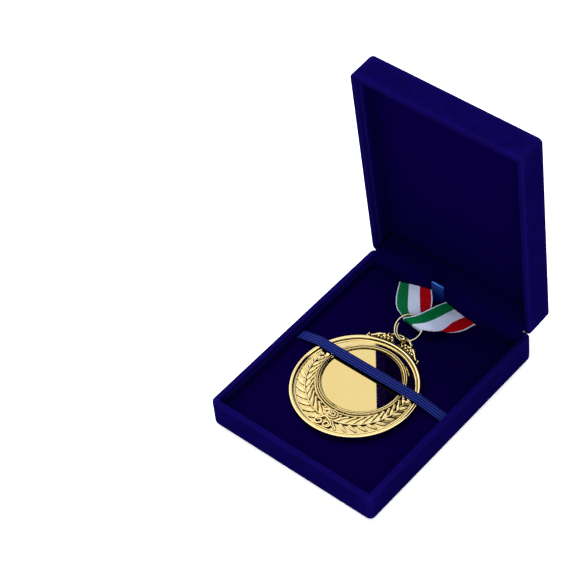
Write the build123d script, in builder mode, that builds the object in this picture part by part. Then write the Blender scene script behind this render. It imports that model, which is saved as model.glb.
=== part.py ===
from build123d import *
import math
import os

os.makedirs("parts", exist_ok=True)

# A velvet presentation case for a medal, open as it stands on a table. All lengths are millimetres.
# X runs across the case, Y from its front edge to its hinge, Z up, with the origin in the middle
# of the underside.

# Case
case_width = 100.0
case_depth = 126.4
base_height = 17.2
lid_height = 16.7
seam_gap = 0.3
open_angle = 86.7
corner_radius = 3.0
edge_radius = 2.0
rim_outer_radius = 1.1
rim_inner_radius = 0.7
cavity_corner_radius = 0.5
wall_thickness = 2.25
base_floor_thickness = 1.6
lid_floor_thickness = 2.0
cut_overrun = 1.0

# Velvet cover, linings and papers
cover_thickness = 0.5
lining_thickness = 0.5
turn_in = 4.0
turn_under = 8.0
foot_thickness = 0.4
foot_margin = 4.0
floor_liner_thickness = 0.5
sheet_clearance = 0.1
lid_pad_thickness = 1.8
lid_panel_thickness = 1.0
lid_panel_clearance = 0.2
lid_panel_edge = 0.4

# Snap hinge
leaf_end_gap = 1.55
barrel_radius = 0.75
barrel_bore = 0.45
pin_radius = 0.4
pin_head_radius = 0.6
pin_head_length = 0.25
barrel_groove = 0.3
hinge_rise = 0.63
knuckle_count = 9
knuckle_gap = 0.3
leaf_thickness = 0.45
leaf_bend = 0.25
leaf_seat_gap = 0.03
leaf_depth = 8.8
channel_height = 5.5
strip_stand = 2.9
strip_bend_drop = 1.63
lid_strip_stand = 1.37
strip_bend_radius = 0.8
strip_clearance = 0.7
spring_thickness = 0.4
spring_clearance = 0.05
spring_foot = 4.0
spring_end_gap = 0.55
spring_bend = 0.3
rivet_count = 4
rivet_radius = 0.8
rivet_clearance = 0.05
rivet_head_radius = 1.5
rivet_head_height = 0.35
rivet_grip = 1.6
rivet_depth = 6.4

# Insert platform
insert_drop = 6.0
insert_clearance = 0.35
insert_foot_gap = 0.3
insert_board_thickness = 1.2
insert_velvet_thickness = 0.45
insert_corner_radius = 1.0
insert_edge_radius = 0.4
ribbon_notch_left = -30.5
ribbon_notch_right = 22.5
ribbon_notch_depth = 1.0
ribbon_window_depth = 4.0
ribbon_window_lintel = 0.3
strap_notch_depth = 1.7

# Elastic strap over the medal
strap_width = 5.4
strap_thickness = 0.8
strap_y = -0.5
strap_side_gap = 0.3
strap_tail = 9.0
strap_bend = 1.2

# Medal
medal_x = -1.5
medal_y = -11.0
medal_radius = 32.3
medal_thickness = 3.2
medal_gap = 0.3
medal_edge = 0.4
rim_roll_radius = 0.9
rim_groove_width = 0.5
rim_groove_depth = 0.5
rim_bead_width = 0.9
field_depth = 1.1
plate_offset_share = 0.1517
plate_radius_share = 0.6192
plate_thickness = 0.8
plate_clearance = 0.05
bezel_width = 2.5
bezel_height = 0.9
bezel_groove_radius = 0.35

# Laurel wreath round the lower part of the field
branch_leaves = 11
branch_start = 9.0
branch_end = 116.0
leaf_length_share = 0.2291
leaf_width_share = 0.0836
leaf_height = 0.8
leaf_spread = 24.0
leaf_rows_share = 0.24
leaf_end_share = 0.6
knot_radius = 1.5
berry_radius = 1.0
berry_offset = 0.8

# Hanger crest and jump ring
crest_half_angle = 27.0
crest_foot = 0.6
crest_thickness = 2.6
crest_edge = 0.4
crest_bead_angles = (25.5, 20.0, 14.0, 8.5)
crest_bead_radii = (1.5, 2.1, 1.8, 2.0)
crest_bead_reach = (1.2, 1.3, 1.5, 1.2)
ear_width = 6.5
ear_radius = 2.1
ear_hole_radius = 1.3
ear_reach = 4.3
ear_lift = 0.1
ring_radius = 6.85
ring_wire_radius = 0.6
ring_sag = 0.41
ring_tilt = 25.0

# Neck ribbon
ribbon_width = 18.5
ribbon_thickness = 0.4
ribbon_loop_width = 11.4
loop_fold_reach = 8.8
loop_fold_radius = 1.2
loop_leg = 5.6
ribbon_gap = 0.3
cross_left_x = -28.3
cross_left_rise = 0.6
cross_left_end_x = -7.3
cross_left_end_rise = 7.5
cross_right_x = 2.1
cross_right_rise = 4.1
cross_right_end_x = 20.5
cross_right_end_rise = 0.6
right_bend_x = 5.4
right_bend_rise = 5.8
right_bend_across = (16.0, -4.0, -2.8)
right_bend_along = (0.3, 1.0, -0.2)
left_bend_x = -12.0
left_bend_rise = 3.8
left_bend_across = (16.0, 4.0, 3.0)
left_bend_along = (-0.3, 1.0, 0.0)
bend_width = 17.0
bend_place_share = 0.5
drop_stand = 0.75
drop_foot = 2.2
drop_turn = 5.0
store_fill_share = 0.88
store_end_gap = 34.3
store_pitch = 0.8
store_x = -3.0
store_back_gap = 10.3

# Pull tab
tab_x = -3.0
tab_width = 8.0
tab_layer = 0.3
tab_fold_radius = 0.25
tab_rise = 14.2
tab_root_gap = 0.7
tab_tail = 9.0

# Worked out from the sizes above
cavity_width = case_width - 2 * (wall_thickness + cover_thickness + lining_thickness)
cavity_depth = case_depth - 2 * (wall_thickness + cover_thickness + lining_thickness)
hinge_length = cavity_width - 2 * leaf_end_gap
hinge_y = case_depth / 2 - barrel_radius
hinge_z = base_height + hinge_rise
lid_top = base_height + seam_gap + lid_height
floor_top = foot_thickness + cover_thickness + base_floor_thickness + floor_liner_thickness
strip_y = cavity_depth / 2 - strip_stand
insert_top = base_height - insert_drop
insert_bottom = floor_top + insert_foot_gap
insert_front = -(cavity_depth / 2 - insert_clearance)
insert_back = strip_y - insert_clearance
insert_width = cavity_width - 2 * insert_clearance
insert_length = insert_back - insert_front
insert_y = (insert_back + insert_front) / 2
board_under = insert_top - insert_velvet_thickness - insert_board_thickness
medal_bottom = insert_top + medal_gap
medal_top = medal_bottom + medal_thickness
field_z = medal_top - field_depth
plate_offset = plate_offset_share * medal_radius
plate_radius = plate_radius_share * medal_radius
leaf_length = leaf_length_share * medal_radius
leaf_width = leaf_width_share * medal_radius
ear_y = medal_y + medal_radius + ear_reach
ear_z = medal_bottom + ear_radius + ear_lift
strip_bend_z = hinge_z - strip_bend_drop
drop_y = strip_y - drop_stand
drop_low = floor_top + drop_foot
store_length = insert_length - store_end_gap
store_back = drop_y - store_back_gap
store_legs = int(store_fill_share * (board_under - floor_top) / store_pitch)

open_turn = Pos(0, hinge_y, hinge_z) * Rot(-open_angle, 0, 0) * Pos(0, -hinge_y, -hinge_z)
base_plane = Plane.XY.offset(foot_thickness)
closed_lid_plane = Plane(origin=(0, 0, lid_top), x_dir=(1, 0, 0), z_dir=(0, 0, -1))
lid_plane = Plane(open_turn * closed_lid_plane.location)

# Hinge section planes: local x runs in from the pin, local y from the seam into each half
base_section = Plane(origin=(0, hinge_y, hinge_z), x_dir=(0, -1, 0), z_dir=(1, 0, 0))
closed_lid_section = Plane(origin=(0, hinge_y, hinge_z), x_dir=(0, -1, 0), z_dir=(-1, 0, 0))
lid_section = Plane(open_turn * closed_lid_section.location)


def save(piece, node):
    piece.part.label = node
    export_step(piece.part, f"parts/{node}.step")


def opened(inward, upward):
    """Y and Z of a point of the open lid, given from the pin as it lies when the lid is shut."""
    turn = math.radians(open_angle)
    return (
        hinge_y - inward * math.cos(turn) + upward * math.sin(turn),
        hinge_z + inward * math.sin(turn) + upward * math.cos(turn),
    )


def top_face(piece, axis):
    return piece.faces().sort_by(axis)[-1]


def barrel_cut(radius, length):
    """Clears a round channel along the hinge pin out of the part being built."""
    with BuildSketch(base_section) as channel:
        Circle(radius)
    extrude(channel.sketch, amount=length / 2, both=True, mode=Mode.SUBTRACT)


def leaf_seat_cut(section, depth):
    """Lets the hinge leaf lie on the rear rim and run down the inside of the rear wall."""
    wall_face = hinge_y - cavity_depth / 2 - lining_thickness
    with BuildSketch(section) as seat:
        with Locations((0, barrel_radius + leaf_seat_gap)):
            Rectangle(
                wall_face + lining_thickness + cut_overrun,
                2 * barrel_radius + 2 * seam_gap,
                align=(Align.MIN, Align.MAX),
            )
        with Locations((wall_face, 0)):
            Rectangle(lining_thickness + cut_overrun, depth, align=(Align.MIN, Align.MIN))
    extrude(
        seat.sketch, amount=hinge_length / 2 + knuckle_gap, both=True, mode=Mode.SUBTRACT
    )


def rivet_places(section):
    """Planes on the leaf's flange, one for each rivet, looking in from the rear wall."""
    pitch = hinge_length / rivet_count
    flange_face = hinge_y - cavity_depth / 2 - lining_thickness + leaf_thickness
    for i in range(rivet_count):
        along = (i - (rivet_count - 1) / 2) * pitch
        origin = section.from_local_coords((flange_face, rivet_depth, along))
        yield Plane(origin=origin, x_dir=section.z_dir, z_dir=section.x_dir)


def rivet_hole_cut(section):
    for place in rivet_places(section):
        with BuildSketch(place) as hole:
            Circle(rivet_radius + rivet_clearance)
        extrude(
            hole.sketch,
            amount=-(leaf_thickness + rivet_grip + rivet_clearance),
            mode=Mode.SUBTRACT,
        )


def tray_shell(plane, height, floor, section):
    """Stiff moulded tray inside the velvet, open towards the plane's +z."""
    axis = Axis(plane.origin, plane.z_dir)
    with BuildPart() as shell:
        with BuildSketch(plane.offset(cover_thickness)):
            RectangleRounded(
                case_width - 2 * cover_thickness,
                case_depth - 2 * cover_thickness,
                corner_radius - cover_thickness,
            )
        extrude(amount=height - 2 * cover_thickness)
        fillet(shell.edges().group_by(axis)[0], edge_radius - cover_thickness)
        with BuildSketch(plane.offset(cover_thickness + floor)):
            RectangleRounded(
                cavity_width + 2 * lining_thickness,
                cavity_depth + 2 * lining_thickness,
                cavity_corner_radius + lining_thickness,
            )
        extrude(amount=height, mode=Mode.SUBTRACT)
        fillet(top_face(shell, axis).outer_wire().edges(), rim_outer_radius - cover_thickness)
        barrel_cut(barrel_radius + barrel_groove, hinge_length + 2 * knuckle_gap)
        leaf_seat_cut(section, leaf_thickness)
        rivet_hole_cut(section)
    return shell


def tray_cover(plane, height, shell, section):
    """Velvet skin outside the tray, turned in over its rim and down the inside."""
    axis = Axis(plane.origin, plane.z_dir)
    with BuildPart() as cover:
        with BuildSketch(plane):
            RectangleRounded(case_width, case_depth, corner_radius)
        extrude(amount=height)
        fillet(cover.edges().group_by(axis)[0], edge_radius)
        with BuildSketch(plane.offset(cover_thickness)):
            RectangleRounded(cavity_width, cavity_depth, cavity_corner_radius)
        extrude(amount=height, mode=Mode.SUBTRACT)
        fillet(top_face(cover, axis).outer_wire().edges(), rim_outer_radius)
        fillet(top_face(cover, axis).inner_wires()[0].edges(), rim_inner_radius)
        add(shell.part, mode=Mode.SUBTRACT)
        with BuildSketch(plane.offset(cover_thickness)):
            RectangleRounded(
                cavity_width + 2 * lining_thickness,
                cavity_depth + 2 * lining_thickness,
                cavity_corner_radius + lining_thickness,
            )
        extrude(amount=height - turn_in - cover_thickness, mode=Mode.SUBTRACT)
        barrel_cut(barrel_radius + barrel_groove, hinge_length + 2 * knuckle_gap)
        leaf_seat_cut(section, turn_in + hinge_rise + cut_overrun)
        rivet_hole_cut(section)
    return cover


def wall_lining(plane, low, high, hinge_side):
    """Velvet strip round the front and side walls, under the turned-in cover."""
    with BuildPart() as lining:
        with BuildSketch(plane.offset(low)):
            RectangleRounded(
                cavity_width + 2 * lining_thickness,
                cavity_depth + 2 * lining_thickness,
                cavity_corner_radius + lining_thickness,
            )
            RectangleRounded(
                cavity_width, cavity_depth, cavity_corner_radius, mode=Mode.SUBTRACT
            )
            with Locations((0, hinge_side * cavity_depth / 2)):
                Rectangle(
                    cavity_width,
                    2 * (lining_thickness + cavity_corner_radius),
                    mode=Mode.SUBTRACT,
                )
        extrude(amount=high - low)
    return lining


def hinge_leaf(section, outline, knuckles_first):
    """Pressed strip: a plate on the rim, a flange down the wall, and every other knuckle."""
    pitch = hinge_length / knuckle_count
    with BuildPart() as leaf:
        with BuildSketch(section):
            with BuildLine():
                FilletPolyline(*outline, radius=leaf_bend)
            trace(line_width=leaf_thickness)
            Circle(barrel_radius)
            Circle(barrel_bore, mode=Mode.SUBTRACT)
        extrude(amount=hinge_length / 2, both=True)
        for i in range(knuckle_count):
            if (i % 2 == 0) == knuckles_first:
                continue
            along = (i - (knuckle_count - 1) / 2) * pitch
            with BuildSketch(section.offset(along)):
                Circle(barrel_radius + barrel_groove)
            extrude(amount=pitch / 2 + knuckle_gap / 2, both=True, mode=Mode.SUBTRACT)
        rivet_hole_cut(section)
    return leaf


def rivets(section, grip_extra):
    with BuildPart() as group:
        for place in rivet_places(section):
            with BuildSketch(place.offset(grip_extra)):
                Circle(rivet_head_radius)
            extrude(amount=rivet_head_height)
            with BuildSketch(place.offset(grip_extra)):
                Circle(rivet_radius)
            extrude(amount=-(grip_extra + leaf_thickness + rivet_grip))
        fillet(group.edges().group_by(Axis(section.origin, section.x_dir))[-1], rivet_head_height / 2)
    return group


# Base: tray, velvet cover, wall lining, floor card and the paper it stands on
base_tray_height = base_height - foot_thickness
base_shell = tray_shell(base_plane, base_tray_height, base_floor_thickness, base_section)
save(base_shell, "base_shell")

base_skin = tray_cover(base_plane, base_tray_height, base_shell, base_section)
with BuildPart() as base_cover:
    add(base_skin.part)
    with BuildSketch(base_plane):
        Rectangle(case_width - 2 * turn_under, case_depth - 2 * turn_under)
    extrude(amount=cover_thickness, mode=Mode.SUBTRACT)
save(base_cover, "base_cover")

base_wall_lining = wall_lining(
    Plane.XY, floor_top - floor_liner_thickness, base_height - turn_in, 1
)
save(base_wall_lining, "base_wall_lining")

with BuildPart() as base_floor_liner:
    with BuildSketch(Plane.XY.offset(floor_top - floor_liner_thickness)):
        RectangleRounded(
            cavity_width - 2 * sheet_clearance,
            cavity_depth - 2 * sheet_clearance,
            cavity_corner_radius,
        )
    extrude(amount=floor_liner_thickness)
save(base_floor_liner, "base_floor_liner")

with BuildPart() as foot_sheet:
    with BuildSketch():
        RectangleRounded(
            case_width - 2 * foot_margin, case_depth - 2 * foot_margin, corner_radius
        )
    extrude(amount=foot_thickness)
save(foot_sheet, "foot_sheet")

# Lid: the same tray and cover, with a foam pad and a velvet-covered panel inside its top
lid_shell = tray_shell(lid_plane, lid_height, lid_floor_thickness, lid_section)
save(lid_shell, "lid_shell")

lid_cover = tray_cover(lid_plane, lid_height, lid_shell, lid_section)
save(lid_cover, "lid_cover")

lid_inside = cover_thickness + lid_floor_thickness
lid_panel_face = lid_inside + lid_pad_thickness + lid_panel_thickness
lid_wall_lining = wall_lining(lid_plane, lid_inside, lid_height - turn_in, -1)
save(lid_wall_lining, "lid_wall_lining")

with BuildPart() as lid_pad:
    with BuildSketch(lid_plane.offset(lid_inside)):
        RectangleRounded(
            cavity_width - 2 * lid_panel_clearance,
            cavity_depth - 2 * lid_panel_clearance,
            cavity_corner_radius,
        )
    extrude(amount=lid_pad_thickness)
save(lid_pad, "lid_pad")

with BuildPart() as lid_panel:
    with BuildSketch(lid_plane.offset(lid_inside + lid_pad_thickness)):
        RectangleRounded(
            cavity_width - 2 * lid_panel_clearance,
            cavity_depth - 2 * lid_panel_clearance,
            cavity_corner_radius,
        )
    extrude(amount=lid_panel_thickness)
    fillet(top_face(lid_panel, Axis(lid_plane.origin, lid_plane.z_dir)).edges(), lid_panel_edge)
save(lid_panel, "lid_panel")

# Snap hinge. The base leaf ends in a channel for the spring; the lid leaf carries its other end.
plate_line = barrel_radius - leaf_thickness / 2
flange_line = hinge_y - cavity_depth / 2 - lining_thickness + leaf_thickness / 2
lip_line = hinge_y - strip_y - lining_thickness - spring_clearance - leaf_thickness / 2
base_outline = (
    (0, plate_line),
    (flange_line, plate_line),
    (flange_line, leaf_depth),
    (lip_line, leaf_depth),
    (lip_line, leaf_depth - channel_height),
)
hinge_base_leaf = hinge_leaf(base_section, base_outline, True)
save(hinge_base_leaf, "hinge_base_leaf")

lid_outline = ((0, plate_line), (flange_line, plate_line), (flange_line, leaf_depth))
hinge_lid_leaf = hinge_leaf(lid_section, lid_outline, False)
save(hinge_lid_leaf, "hinge_lid_leaf")

with BuildPart() as hinge_pin:
    with BuildSketch(base_section):
        Circle(pin_radius)
    extrude(amount=hinge_length / 2, both=True)
    for end in (-1, 1):
        with BuildSketch(base_section.offset(end * hinge_length / 2)):
            Circle(pin_head_radius)
        extrude(amount=end * pin_head_length)
save(hinge_pin, "hinge_pin")

hinge_base_rivets = rivets(base_section, 0)
save(hinge_base_rivets, "hinge_base_rivets")

hinge_lid_rivets = rivets(lid_section, spring_thickness + 2 * spring_clearance)
save(hinge_lid_rivets, "hinge_lid_rivets")

# Velvet strip over the hinge, from the floor up the strip's face and across to the lid's panel
strip_line = strip_y + lining_thickness / 2
lid_strip_line = hinge_y - cavity_depth / 2 + lid_strip_stand - lining_thickness / 2
panel_height = lid_top - lid_panel_face - hinge_z
with BuildPart() as hinge_lining:
    with BuildSketch(Plane.YZ):
        with BuildLine():
            FilletPolyline(
                (strip_line, floor_top + sheet_clearance),
                (strip_line, strip_bend_z),
                opened(lid_strip_line, -spring_thickness),
                opened(lid_strip_line, panel_height - lid_panel_clearance),
                radius=strip_bend_radius,
            )
        trace(line_width=lining_thickness)
    extrude(amount=cavity_width / 2 - strip_clearance, both=True)
save(hinge_lining, "hinge_lining")

# Bowed spring plate, tucked in the base leaf's channel and riveted to the lid leaf
under_lining = (lining_thickness + spring_thickness) / 2 + spring_clearance
spring_seat = flange_line + leaf_thickness / 2 + spring_thickness / 2 + spring_clearance
channel_line = hinge_y - (lip_line - leaf_thickness / 2 - spring_clearance - spring_thickness / 2)
lip_top = hinge_z - leaf_depth + channel_height
with BuildPart() as hinge_spring:
    with BuildSketch(Plane.YZ):
        with BuildLine():
            FilletPolyline(
                (channel_line, lip_top - spring_foot),
                (channel_line, lip_top),
                (strip_line + under_lining, strip_bend_z - under_lining / 2),
                opened(lid_strip_line - under_lining, 0),
                opened(lid_strip_line - under_lining, leaf_depth / 3),
                opened(spring_seat, leaf_depth / 2),
                opened(spring_seat, leaf_depth - spring_thickness),
                radius=spring_bend,
            )
        trace(line_width=spring_thickness)
    extrude(amount=cavity_width / 2 - spring_end_gap, both=True)
    for place in rivet_places(lid_section):
        with BuildSketch(place.offset(-leaf_thickness)):
            Circle(rivet_radius + rivet_clearance)
        extrude(amount=leaf_thickness + 2 * spring_thickness, mode=Mode.SUBTRACT)
save(hinge_spring, "hinge_spring")


def insert_cuts():
    """Ribbon notch and window in the rear edge, and a notch for the strap in each side."""
    notch_width = ribbon_notch_right - ribbon_notch_left
    notch_middle = (ribbon_notch_right + ribbon_notch_left) / 2
    with BuildSketch(Plane.XY.offset(insert_bottom)) as notch:
        with Locations((notch_middle, insert_back)):
            Rectangle(notch_width, ribbon_notch_depth, align=(Align.CENTER, Align.MAX))
    extrude(notch.sketch, amount=insert_top - insert_bottom, mode=Mode.SUBTRACT)
    with BuildSketch(Plane.XY.offset(insert_bottom)) as window:
        with Locations((notch_middle, insert_back)):
            Rectangle(notch_width, ribbon_window_depth, align=(Align.CENTER, Align.MAX))
    window_height = board_under - ribbon_window_lintel - insert_bottom
    extrude(window.sketch, amount=window_height, mode=Mode.SUBTRACT)
    strap_window = board_under - strap_thickness - 2 * strap_side_gap
    with BuildSketch(Plane.XY.offset(strap_window)) as strap_notches:
        for side in (-1, 1):
            with Locations((side * (insert_width / 2 - strap_notch_depth / 2), strap_y)):
                Rectangle(strap_notch_depth, strap_width + 2 * strap_side_gap)
    extrude(strap_notches.sketch, amount=insert_top, mode=Mode.SUBTRACT)


# Lift-out insert: a folded card platform with velvet over its top and sides
board_width = insert_width - 2 * insert_velvet_thickness
board_length = insert_length - 2 * insert_velvet_thickness
with BuildPart() as insert_board:
    with BuildSketch(Plane.XY.offset(insert_bottom)):
        with Locations((0, insert_y)):
            RectangleRounded(board_width, board_length, insert_corner_radius)
    extrude(amount=insert_top - insert_velvet_thickness - insert_bottom)
    with BuildSketch(Plane.XY.offset(insert_bottom)):
        with Locations((0, insert_y)):
            Rectangle(
                board_width - 2 * insert_board_thickness,
                board_length - 2 * insert_board_thickness,
            )
    extrude(amount=board_under - insert_bottom, mode=Mode.SUBTRACT)
    insert_cuts()
save(insert_board, "insert_board")

with BuildPart() as insert_velvet:
    with BuildSketch(Plane.XY.offset(insert_bottom)):
        with Locations((0, insert_y)):
            RectangleRounded(
                insert_width, insert_length, insert_corner_radius + insert_velvet_thickness
            )
    extrude(amount=insert_top - insert_bottom)
    fillet(top_face(insert_velvet, Axis.Z).edges(), insert_edge_radius)
    with BuildSketch(Plane.XY.offset(insert_bottom)):
        with Locations((0, insert_y)):
            RectangleRounded(board_width, board_length, insert_corner_radius)
    extrude(
        amount=insert_top - insert_velvet_thickness - insert_bottom, mode=Mode.SUBTRACT
    )
    insert_cuts()
save(insert_velvet, "insert_velvet")

# Elastic strap: down through the side notches and back under the platform
strap_low = board_under - strap_side_gap / 2 - strap_thickness / 2
strap_edge = insert_width / 2 - strap_notch_depth / 2
strap_shoulder = insert_top + strap_thickness
strap_over = medal_top + medal_gap + strap_thickness / 2
strap_chord = math.sqrt(medal_radius**2 - (strap_y - medal_y) ** 2)
with BuildPart() as elastic_strap:
    with BuildSketch(Plane.XZ.offset(-strap_y)):
        with BuildLine():
            FilletPolyline(
                (-strap_edge + strap_tail, strap_low),
                (-strap_edge, strap_low),
                (-strap_edge, strap_shoulder),
                (medal_x - strap_chord - strap_thickness, strap_over),
                (medal_x + strap_chord + strap_thickness, strap_over),
                (strap_edge, strap_shoulder),
                (strap_edge, strap_low),
                (strap_edge - strap_tail, strap_low),
                radius=strap_bend,
            )
        trace(line_width=strap_thickness)
    extrude(amount=strap_width / 2, both=True)
save(elastic_strap, "elastic_strap")


def leaf_place(turn, inward):
    """Middle of the field between rim and bezel at an angle from the foot of the medal."""
    angle = math.radians(turn - 90)
    field_edge = medal_radius - 2 * rim_roll_radius - rim_groove_width - rim_bead_width
    bezel_edge = plate_radius + bezel_width
    # distance from the medal's centre to the offset bezel circle along this direction
    rise = plate_offset * math.sin(angle)
    reach = rise + math.sqrt(bezel_edge**2 - plate_offset**2 + rise**2)
    room = field_edge - reach
    radius = reach + room * (1 / 2 + inward)
    return medal_x + radius * math.cos(angle), medal_y + radius * math.sin(angle), room


# Medal: a struck disc with a rolled rim, a sunk field, a wreath and an off-centre bezel
medal_axis = Axis((medal_x, medal_y, 0), (0, 0, 1))
bead_outer = medal_radius - 2 * rim_roll_radius - rim_groove_width
bead_inner = bead_outer - rim_bead_width
rim_shoulder = medal_top - rim_roll_radius
with BuildPart() as medal_body:
    with BuildSketch(Plane(origin=(medal_x, medal_y, 0), x_dir=(1, 0, 0), z_dir=(0, -1, 0))):
        with BuildLine():
            Polyline(
                (medal_radius, rim_shoulder),
                (medal_radius, medal_bottom + medal_edge),
                (medal_radius - medal_edge, medal_bottom),
                (0, medal_bottom),
                (0, field_z),
                (bead_inner, field_z),
                (bead_inner + rim_bead_width / 4, rim_shoulder + rim_groove_depth),
                (bead_outer - rim_bead_width / 4, rim_shoulder + rim_groove_depth),
                (bead_outer, rim_shoulder),
                (medal_radius - 2 * rim_roll_radius, rim_shoulder),
            )
            ThreePointArc(
                (medal_radius - 2 * rim_roll_radius, rim_shoulder),
                (medal_radius - rim_roll_radius, medal_top),
                (medal_radius, rim_shoulder),
            )
        make_face()
    revolve(axis=medal_axis)
    with BuildSketch(Plane.XY.offset(field_z - plate_thickness)):
        with Locations((medal_x, medal_y + plate_offset)):
            Circle(plate_radius + bezel_width)
    extrude(amount=plate_thickness + bezel_height)
    with BuildSketch(Plane.XY.offset(field_z + bezel_height)):
        with Locations((medal_x, medal_y + plate_offset)):
            Circle(plate_radius + bezel_width / 2 + bezel_groove_radius)
            Circle(plate_radius + bezel_width / 2 - bezel_groove_radius, mode=Mode.SUBTRACT)
    extrude(amount=-bezel_groove_radius, mode=Mode.SUBTRACT)
    with BuildSketch(Plane.XY.offset(field_z)):
        with Locations((medal_x, medal_y + plate_offset)):
            Circle(plate_radius)
    extrude(amount=bezel_height, mode=Mode.SUBTRACT)
    with BuildSketch(Plane.XY.offset(field_z - plate_thickness)):
        with Locations((medal_x, medal_y + plate_offset)):
            Circle(plate_radius)
    extrude(amount=plate_thickness, mode=Mode.SUBTRACT)
    with BuildSketch(Plane.XY.offset(field_z - medal_edge / 2)):
        for side in (-1, 1):
            for i in range(branch_leaves):
                share = i / (branch_leaves - 1)
                turn = branch_start + (branch_end - branch_start) * share
                size = 1 - (1 - leaf_end_share) * share
                for row in (-1, 1):
                    x, y, room = leaf_place(side * turn, row * leaf_rows_share)
                    heading = side * turn + (90 - side * 90) - row * side * leaf_spread
                    long = leaf_length * size / 2
                    wide = leaf_width * size / 2
                    with Locations(Location((x, y, 0), heading)):
                        with BuildLine(mode=Mode.PRIVATE) as leaf_outline:
                            ThreePointArc((-long, 0), (0, wide), (long, 0))
                            ThreePointArc((long, 0), (0, -wide), (-long, 0))
                        add(make_face(leaf_outline.edges(), mode=Mode.PRIVATE))
            x, y, room = leaf_place(side * branch_end, 0)
            for row in (-1, 1):
                with Locations((x, y + row * berry_offset)):
                    Circle(berry_radius)
        x, y, room = leaf_place(0, 0)
        with Locations((x, y)):
            Circle(knot_radius)
            Rectangle(knot_radius, room - knot_radius)
    extrude(amount=leaf_height + medal_edge / 2)
save(medal_body, "medal_body")

with BuildPart() as medal_plate:
    with BuildSketch(Plane.XY.offset(field_z - plate_thickness)):
        with Locations((medal_x, medal_y + plate_offset)):
            Circle(plate_radius - plate_clearance)
    extrude(amount=plate_thickness)
save(medal_plate, "medal_plate")

# Hanger: a beaded crest on the rim, with a wide ear bored across for the ring
def crest_beads():
    """Angle, size and distance from the medal's middle of each bead of the crest."""
    for side in (-1, 1):
        for angle, bead, reach in zip(crest_bead_angles, crest_bead_radii, crest_bead_reach):
            turn = math.radians(90 + side * angle)
            out = medal_radius + sheet_clearance + reach
            yield (medal_x + out * math.cos(turn), medal_y + out * math.sin(turn)), bead


crest_z = medal_bottom + (medal_thickness - crest_thickness) / 2
crest_low_y = medal_radius * math.cos(math.radians(crest_half_angle))
with BuildPart() as medal_hanger:
    with BuildSketch(Plane.XY.offset(crest_z)):
        with Locations((medal_x, medal_y)):
            Circle(medal_radius + crest_foot + crest_bead_reach[0])
            Rectangle(3 * medal_radius, 2 * crest_low_y, mode=Mode.SUBTRACT)
            with Locations((0, -2 * crest_low_y)):
                Rectangle(3 * medal_radius, 2 * crest_low_y, mode=Mode.SUBTRACT)
        for place, bead in crest_beads():
            with Locations(place):
                Circle(bead)
        with Locations((medal_x, medal_y)):
            Circle(medal_radius + sheet_clearance, mode=Mode.SUBTRACT)
    extrude(amount=crest_thickness - crest_edge)
    with BuildSketch(Plane.XY.offset(crest_z + crest_thickness - crest_edge)):
        for place, bead in crest_beads():
            with Locations(place):
                Circle(bead - crest_edge)
        with Locations((medal_x, medal_y)):
            Circle(medal_radius + sheet_clearance + crest_edge, mode=Mode.SUBTRACT)
    extrude(amount=crest_edge)
    with BuildSketch(Plane.YZ.offset(medal_x)):
        with Locations((ear_y, ear_z)):
            Circle(ear_radius)
        with Locations((medal_y + medal_radius + crest_foot, crest_z)):
            Rectangle(
                ear_y - medal_y - medal_radius - crest_foot,
                crest_thickness,
                align=(Align.MIN, Align.MIN),
            )
    extrude(amount=ear_width / 2, both=True)
    with BuildSketch(Plane.YZ.offset(medal_x)):
        with Locations((ear_y, ear_z)):
            Circle(ear_hole_radius)
    extrude(amount=ear_width, both=True, mode=Mode.SUBTRACT)
save(medal_hanger, "medal_hanger")

# Jump ring, leaning up out of the ear
ring_turn = math.radians(ring_tilt)
ring_out = ring_radius - ring_sag
ring_centre = (
    medal_x,
    ear_y + ring_out * math.cos(ring_turn),
    ear_z + ring_out * math.sin(ring_turn),
)
ring_normal = (0, -math.sin(ring_turn), math.cos(ring_turn))
ring_plane = Plane(origin=ring_centre, x_dir=(1, 0, 0), z_dir=ring_normal)
with BuildPart() as jump_ring:
    with BuildSketch(Plane(origin=ring_centre, x_dir=(1, 0, 0), z_dir=ring_plane.y_dir)):
        with Locations((ring_radius, 0)):
            Circle(ring_wire_radius)
    revolve(axis=Axis(ring_centre, ring_normal))
save(jump_ring, "jump_ring")

# Ribbon: folded back over the far side of the ring, both layers in the ring's own slope
loop_section = Plane(origin=ring_centre, x_dir=ring_plane.y_dir, z_dir=(1, 0, 0))
fold_at = loop_fold_reach - ring_radius
with BuildPart() as ribbon_loop:
    with BuildSketch(loop_section):
        with BuildLine():
            Line((fold_at + loop_leg, -loop_fold_radius), (fold_at, -loop_fold_radius))
            ThreePointArc(
                (fold_at, -loop_fold_radius),
                (fold_at - loop_fold_radius, 0),
                (fold_at, loop_fold_radius),
            )
            Line((fold_at, loop_fold_radius), (fold_at + loop_leg, loop_fold_radius))
        trace(line_width=ribbon_thickness)
    extrude(amount=ribbon_loop_width / 2, both=True)
save(ribbon_loop, "ribbon_loop")


def strand(sections):
    """A stretch of ribbon through its cross-sections: middle, direction across, along, width."""
    with BuildPart() as piece:
        for middle, across, along, width in sections:
            with BuildSketch(Plane(origin=middle, x_dir=across, z_dir=along)):
                Rectangle(width, ribbon_thickness)
        loft(ruled=True)
    return piece


loop_reach = fold_at + loop_leg + ribbon_gap
upper = loop_section.from_local_coords((loop_reach, loop_fold_radius, 0))
lower = loop_section.from_local_coords((loop_reach, -loop_fold_radius, 0))
over_edge = drop_y - ribbon_thickness / 2 - ribbon_gap

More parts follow.
